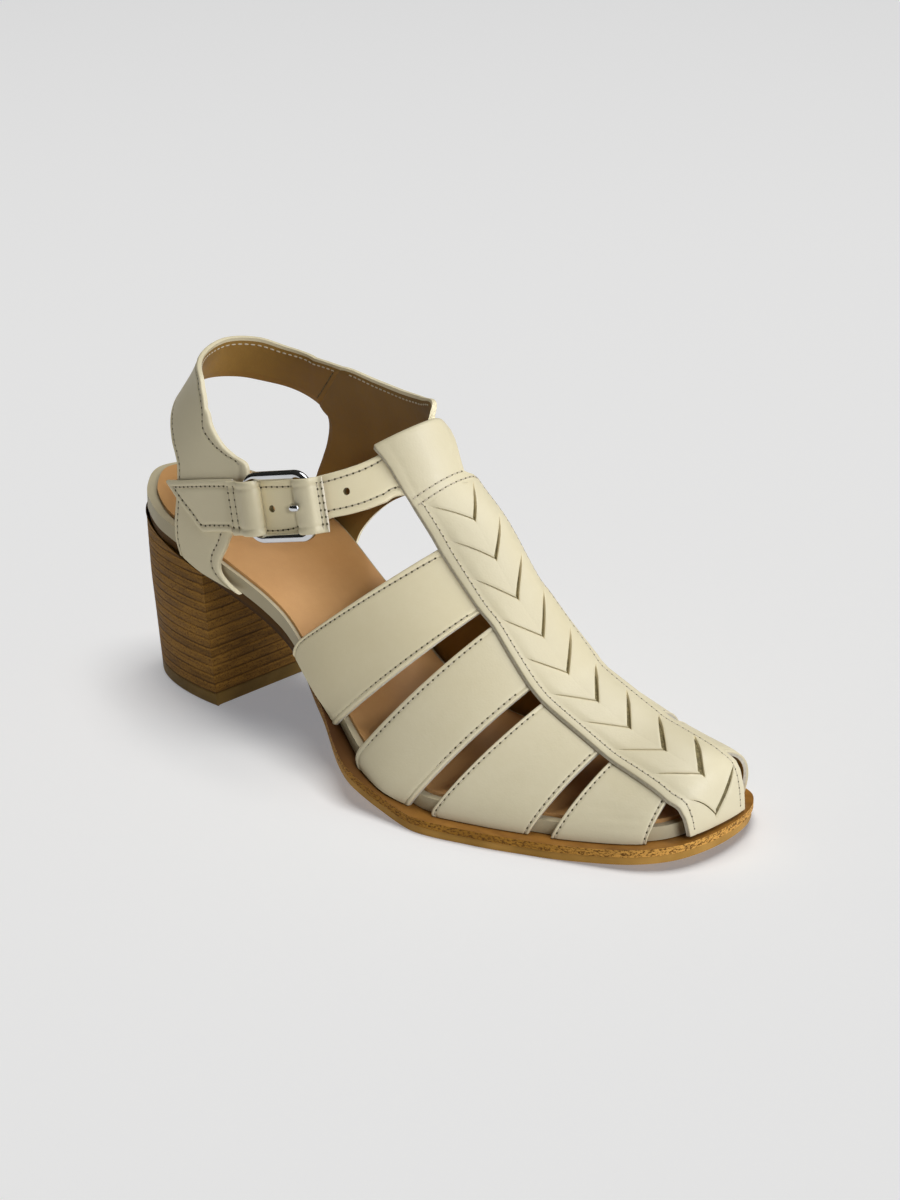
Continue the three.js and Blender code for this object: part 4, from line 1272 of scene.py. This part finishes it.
def layer_piece(name, node, slot, looks, shift, low, high, rim, start=0.0, lip=-1):
    turn = lerp(float(round_ends(start)), math.pi, np.linspace(0, 1, LAYER_STEPS + 1))
    outer, inner = outline(turn, shift), outline(-turn, shift)
    plan = lerp(outer[:, None], inner[:, None], np.linspace(0, 1, LAYER_ACROSS + 1)[None, :, None])
    top, bottom = (np.concatenate([plan, level(plan[..., :1])], -1) for level in (high, low))
    piece = clean(thicken(name, LAYER_STEPS, LAYER_ACROSS, top, bottom, looks))
    apply(piece, "BEVEL", width=rim * MM, material=lip, **RIM)
    return dress(smooth(piece, RIM_ANGLE), slot, node)


# The rand wall takes the darkened cream leather: painted shade
layer_piece("footbed_rand", "insole", "ivory_leather", [RAND_PAINTED_SHADE] * 3, lambda at: -FOOTBED_INSET(at),
            low=lambda x: midsole_top(x) + GAP, high=footbed_top, rim=1.1)
layer_piece("insole_sock", "sock", "tan_leather", [SOCK_LEATHER] * 3,
            lambda at: -FOOTBED_INSET(at) - SOCK_INSET(at),
            low=lambda x: footbed_top(x) + SOCK_GAP, high=lambda x: footbed_top(x) + GAP + SOCK, rim=0.35)
layer_piece("midsole_edge", "midsole", "sole_leather", [LEDGE_TOP, LEDGE_TOP, SOLE_EDGE, SOLE_LIP],
            lambda at: -SOLE_INSET(at) * WAIST_INSET, low=midsole_low, high=midsole_top, rim=0.8, lip=3)
layer_piece("outsole_gum", "outsole", "gum_rubber", [SOLE_GUM] * 3,
            lambda at: -SOLE_INSET(at) * WAIST_INSET - OUTSOLE_INSET,
            low=under, high=lambda x: midsole_low(x) - GUM_GAP, rim=0.5, start=OUTSOLE_START)



# Stacked heel: a ring round the block for every level, drawn in at the joints between the layers
HEEL_AT = {key: curve(HEEL, "height", key) for key in HEEL[0] if key != "height"}
HEEL_ARC = 96
HEEL_BREAST = 28
JOINT = table(
    "at inset",
    (0, 0.14), (0.04, 0.06), (0.09, 0.02), (0.5, 0), (0.91, 0.02), (0.96, 0.06),
)
TOP_PIECE = table(
    "height inset",
    (0, 0.5), (0.12, 0.22), (0.4, 0.05), (0.9, 0), (2.3, 0), (3.9, 0), (4.3, 0.05), (HEEL_LIFT - 0.05, 0.2),
)
HEEL_GAP = 0.1
HEEL_ANGLE = 38


def heel_ring(column, height, inset):
    share = column / HEEL_ARC
    turn = (1 - np.abs(2 * share - 1)) * math.pi / 2
    wide = np.where(share < 0.5, -HEEL_AT["lateral"](height), HEEL_AT["medial"](height))
    breast, back = HEEL_AT["breast"](height), HEEL_AT["back"](height)
    deep, half = breast - back - inset, wide - np.sign(wide) * inset
    arc = np.stack([breast - deep * np.sin(turn), half * np.cos(turn)], -1)
    cross = np.clip((column - HEEL_ARC) / HEEL_BREAST, 0, 1)
    flat = np.stack([breast - inset, lerp(HEEL_AT["medial"](height), -HEEL_AT["lateral"](height), cross)], -1)
    rounded = np.where((cross > 0) & (cross < 1), 1, 0)[:, None]
    return lerp(arc, flat, rounded)


def heel_piece(name, node, slot, look, levels, insets, ceiling):
    piece, i, j = new_grid(name, HEEL_ARC + HEEL_BREAST, len(levels) - 1, [look])
    column = np.where(i == HEEL_ARC + HEEL_BREAST, 0, i)
    plan = heel_ring(column, levels[j], insets[j])
    place(piece, np.concatenate([plan, np.minimum(levels[j], ceiling(plan[:, 0]))[:, None]], -1))
    return dress(clean(piece, HEEL_ANGLE, fill=True), slot, node)


def stacked_heel():
    bottom = HEEL_LIFT + HEEL_GAP
    count = math.ceil((midsole_low(np.array(0.0)) - bottom) / LAYER) + 1
    levels = np.array([bottom + (k + row["at"]) * LAYER for k in range(count) for row in JOINT])
    insets = np.array([row["inset"] for _ in range(count) for row in JOINT])
    heel_piece("stacked_heel", "heel", "stacked_leather", STACK, levels, insets,
               ceiling=lambda x: midsole_low(x) - HEEL_GAP)


def heel_top_piece():
    levels, insets = (np.array([row[key] for row in TOP_PIECE]) for key in ("height", "inset"))
    heel_piece("heel_top_piece", "heel_lift", "gum_rubber", HEEL_GUM, levels, insets,
               ceiling=lambda x: 0 * x + HEEL_LIFT)



stacked_heel()
heel_top_piece()


# Stitches and holes, each joined in one mesh
THREAD_SIDES = 6
THREAD_RINGS = table("at size", (-0.5, 0.35), (-0.38, 0.8), (-0.15, 1), (0.15, 1), (0.38, 0.8), (0.5, 0.35))
THREAD_HALF = dict(wide=0.27, tall=0.2)
THREAD_SHARE = 0.66
HOLE_SIDES = 8
HOLE_HALF = dict(long=0.42, wide=0.32, top=0.09, deep=0.3)


def round_ring(sides):
    return np.arange(sides) * 2 * math.pi / sides


def sew_threads():
    wide, tall = THREAD_HALF["wide"], THREAD_HALF["tall"]
    ring = np.array([
        [row["at"], row["size"] * wide * math.cos(a), row["size"] * tall * math.sin(a)]
        for row in THREAD_RINGS for a in round_ring(THREAD_SIDES)
    ])
    faces = tube_faces(len(THREAD_RINGS), THREAD_SIDES)
    join_small("stitch_threads", THREADS, ring, faces, THREAD_SHARE, THREAD)


# Dark discs at every needle hole stand in for the shade inside it
def punch_needle_holes():
    long, wide = HOLE_HALF["long"] / STITCH_PITCH, HOLE_HALF["wide"]
    ring = np.array([
        [long * math.cos(a), wide * math.sin(a), z]
        for z in (-HOLE_HALF["deep"], HOLE_HALF["top"]) for a in round_ring(HOLE_SIDES)
    ])
    join_small("needle_holes", HOLES, ring, tube_faces(2, HOLE_SIDES), 1, NEEDLE_HOLE_SHADE)



sew_threads()
punch_needle_holes()


# Stage: pale floor, soft light and the camera
FLOOR_HALF = 6
FLOOR_GLOW = {"Specular IOR Level": 0, "Emission Color": rgb(0.9, 0.93, 1), "Emission Strength": 0.235}
LIGHTS = table(
    "name at size power tint falls_on",
    ("overhead_softbox", (0.3, 0.9, 4.0), 2.2, 96, (0.98, 0.985, 1), "shoe"),
    ("toe_softbox", (3.3, -0.5, 2.3), 2.2, 86, (0.85, 0.89, 1), "shoe"),
    ("front_softbox", (3.5, 0.8, 1.3), 2.2, 46, (0.85, 0.89, 1), "shoe"),
    ("floor_softbox", (0.1, 0.2, 4.2), 2.5, 130.6, (1, 0.987, 0.958), "ground"),
)
SPOT = dict(at=(0.6, -0.5, 0.42), aim=(-0.004, -0.018, 0.088), cone=7.5, radius=0.06, power=18)
INSTEP = ("ankle_strap", "insole_sock", "strap_outer_1")
SKY_TINT = (1, 0.97, 0.88, 1)
SKY = {"From Min": 0, "From Max": 0.8, "To Min": 0.01, "To Max": 0.03}
LIGHT_AIM = (0, 0, 0.04)
CAMERA = dict(at=(753.949, -683.929, 419.118), aim=(105.36, 26.84, 40.11), lens=96)


def floor():
    bpy.ops.object.select_all(action="DESELECT")
    bpy.ops.mesh.primitive_plane_add(size=2 * FLOOR_HALF)
    piece = bpy.context.object
    piece.name = "studio_floor"
    look = Look("studio_floor", FLOOR_GLOW)
    haze = look.noise(2, detail=2)
    look.colour(look.mix(haze, rgb(0.8, 0.8, 0.8), rgb(0.81, 0.81, 0.81)))
    look.rough(haze, 0.9, 0.95)
    piece.data.materials.append(look.material)


def hang(data, at, aim, lit):
    """Sets a lamp up so that it falls on one collection."""
    lamp = bpy.data.objects.new(data.name, data)
    lamp.location = at
    lamp.rotation_mode = "QUATERNION"
    lamp.rotation_quaternion = (Vector(aim) - lamp.location).to_track_quat("-Z", "Y")
    bpy.context.scene.collection.objects.link(lamp)
    lamp.light_linking.receiver_collection = lit


def lights():
    lit = {name: bpy.data.collections.new(name) for name in ("shoe", "ground", "instep")}
    for piece in bpy.context.scene.objects:
        if piece.type == "MESH":
            lit["ground" if piece.name == "studio_floor" else "shoe"].objects.link(piece)
            if piece.name in INSTEP:
                lit["instep"].objects.link(piece)
    for row in LIGHTS:
        data = bpy.data.lights.new(row["name"], "AREA")
        data.energy, data.size, data.color = row["power"], row["size"], row["tint"]
        hang(data, row["at"], LIGHT_AIM, lit[row["falls_on"]])
    spot = bpy.data.lights.new("instep_spot", "SPOT")
    spot.energy, spot.spot_size, spot.spot_blend = SPOT["power"], math.radians(SPOT["cone"]), 1
    spot.shadow_soft_size = SPOT["radius"]
    hang(spot, SPOT["at"], SPOT["aim"], lit["instep"])
    world = bpy.data.worlds.new("studio")
    world.use_nodes = True
    tree = world.node_tree
    way = tree.nodes.new("ShaderNodeTexCoord")
    split = tree.nodes.new("ShaderNodeSeparateXYZ")
    sky = tree.nodes.new("ShaderNodeMapRange")
    for key, value in SKY.items():
        sky.inputs[key].default_value = value
    tree.nodes["Background"].inputs["Color"].default_value = SKY_TINT
    tree.links.new(way.outputs["Generated"], split.inputs[0])
    tree.links.new(split.outputs["Z"], sky.inputs["Value"])
    tree.links.new(sky.outputs[0], tree.nodes["Background"].inputs["Strength"])
    bpy.context.scene.world = world
    bpy.context.scene.view_settings.view_transform = "Standard"


def camera():
    data = bpy.data.cameras.new("camera")
    data.lens, data.sensor_width = CAMERA["lens"], 36
    data.clip_start, data.clip_end = 0.01, 100
    shot = bpy.data.objects.new("camera", data)
    at, aim = (Vector((np.array(CAMERA[key]) + ORIGIN) * MM) for key in ("at", "aim"))
    shot.location = at
    shot.rotation_mode = "QUATERNION"
    shot.rotation_quaternion = (aim - at).to_track_quat("-Z", "Y")
    bpy.context.scene.collection.objects.link(shot)
    bpy.context.scene.camera = shot


floor()
lights()
camera()
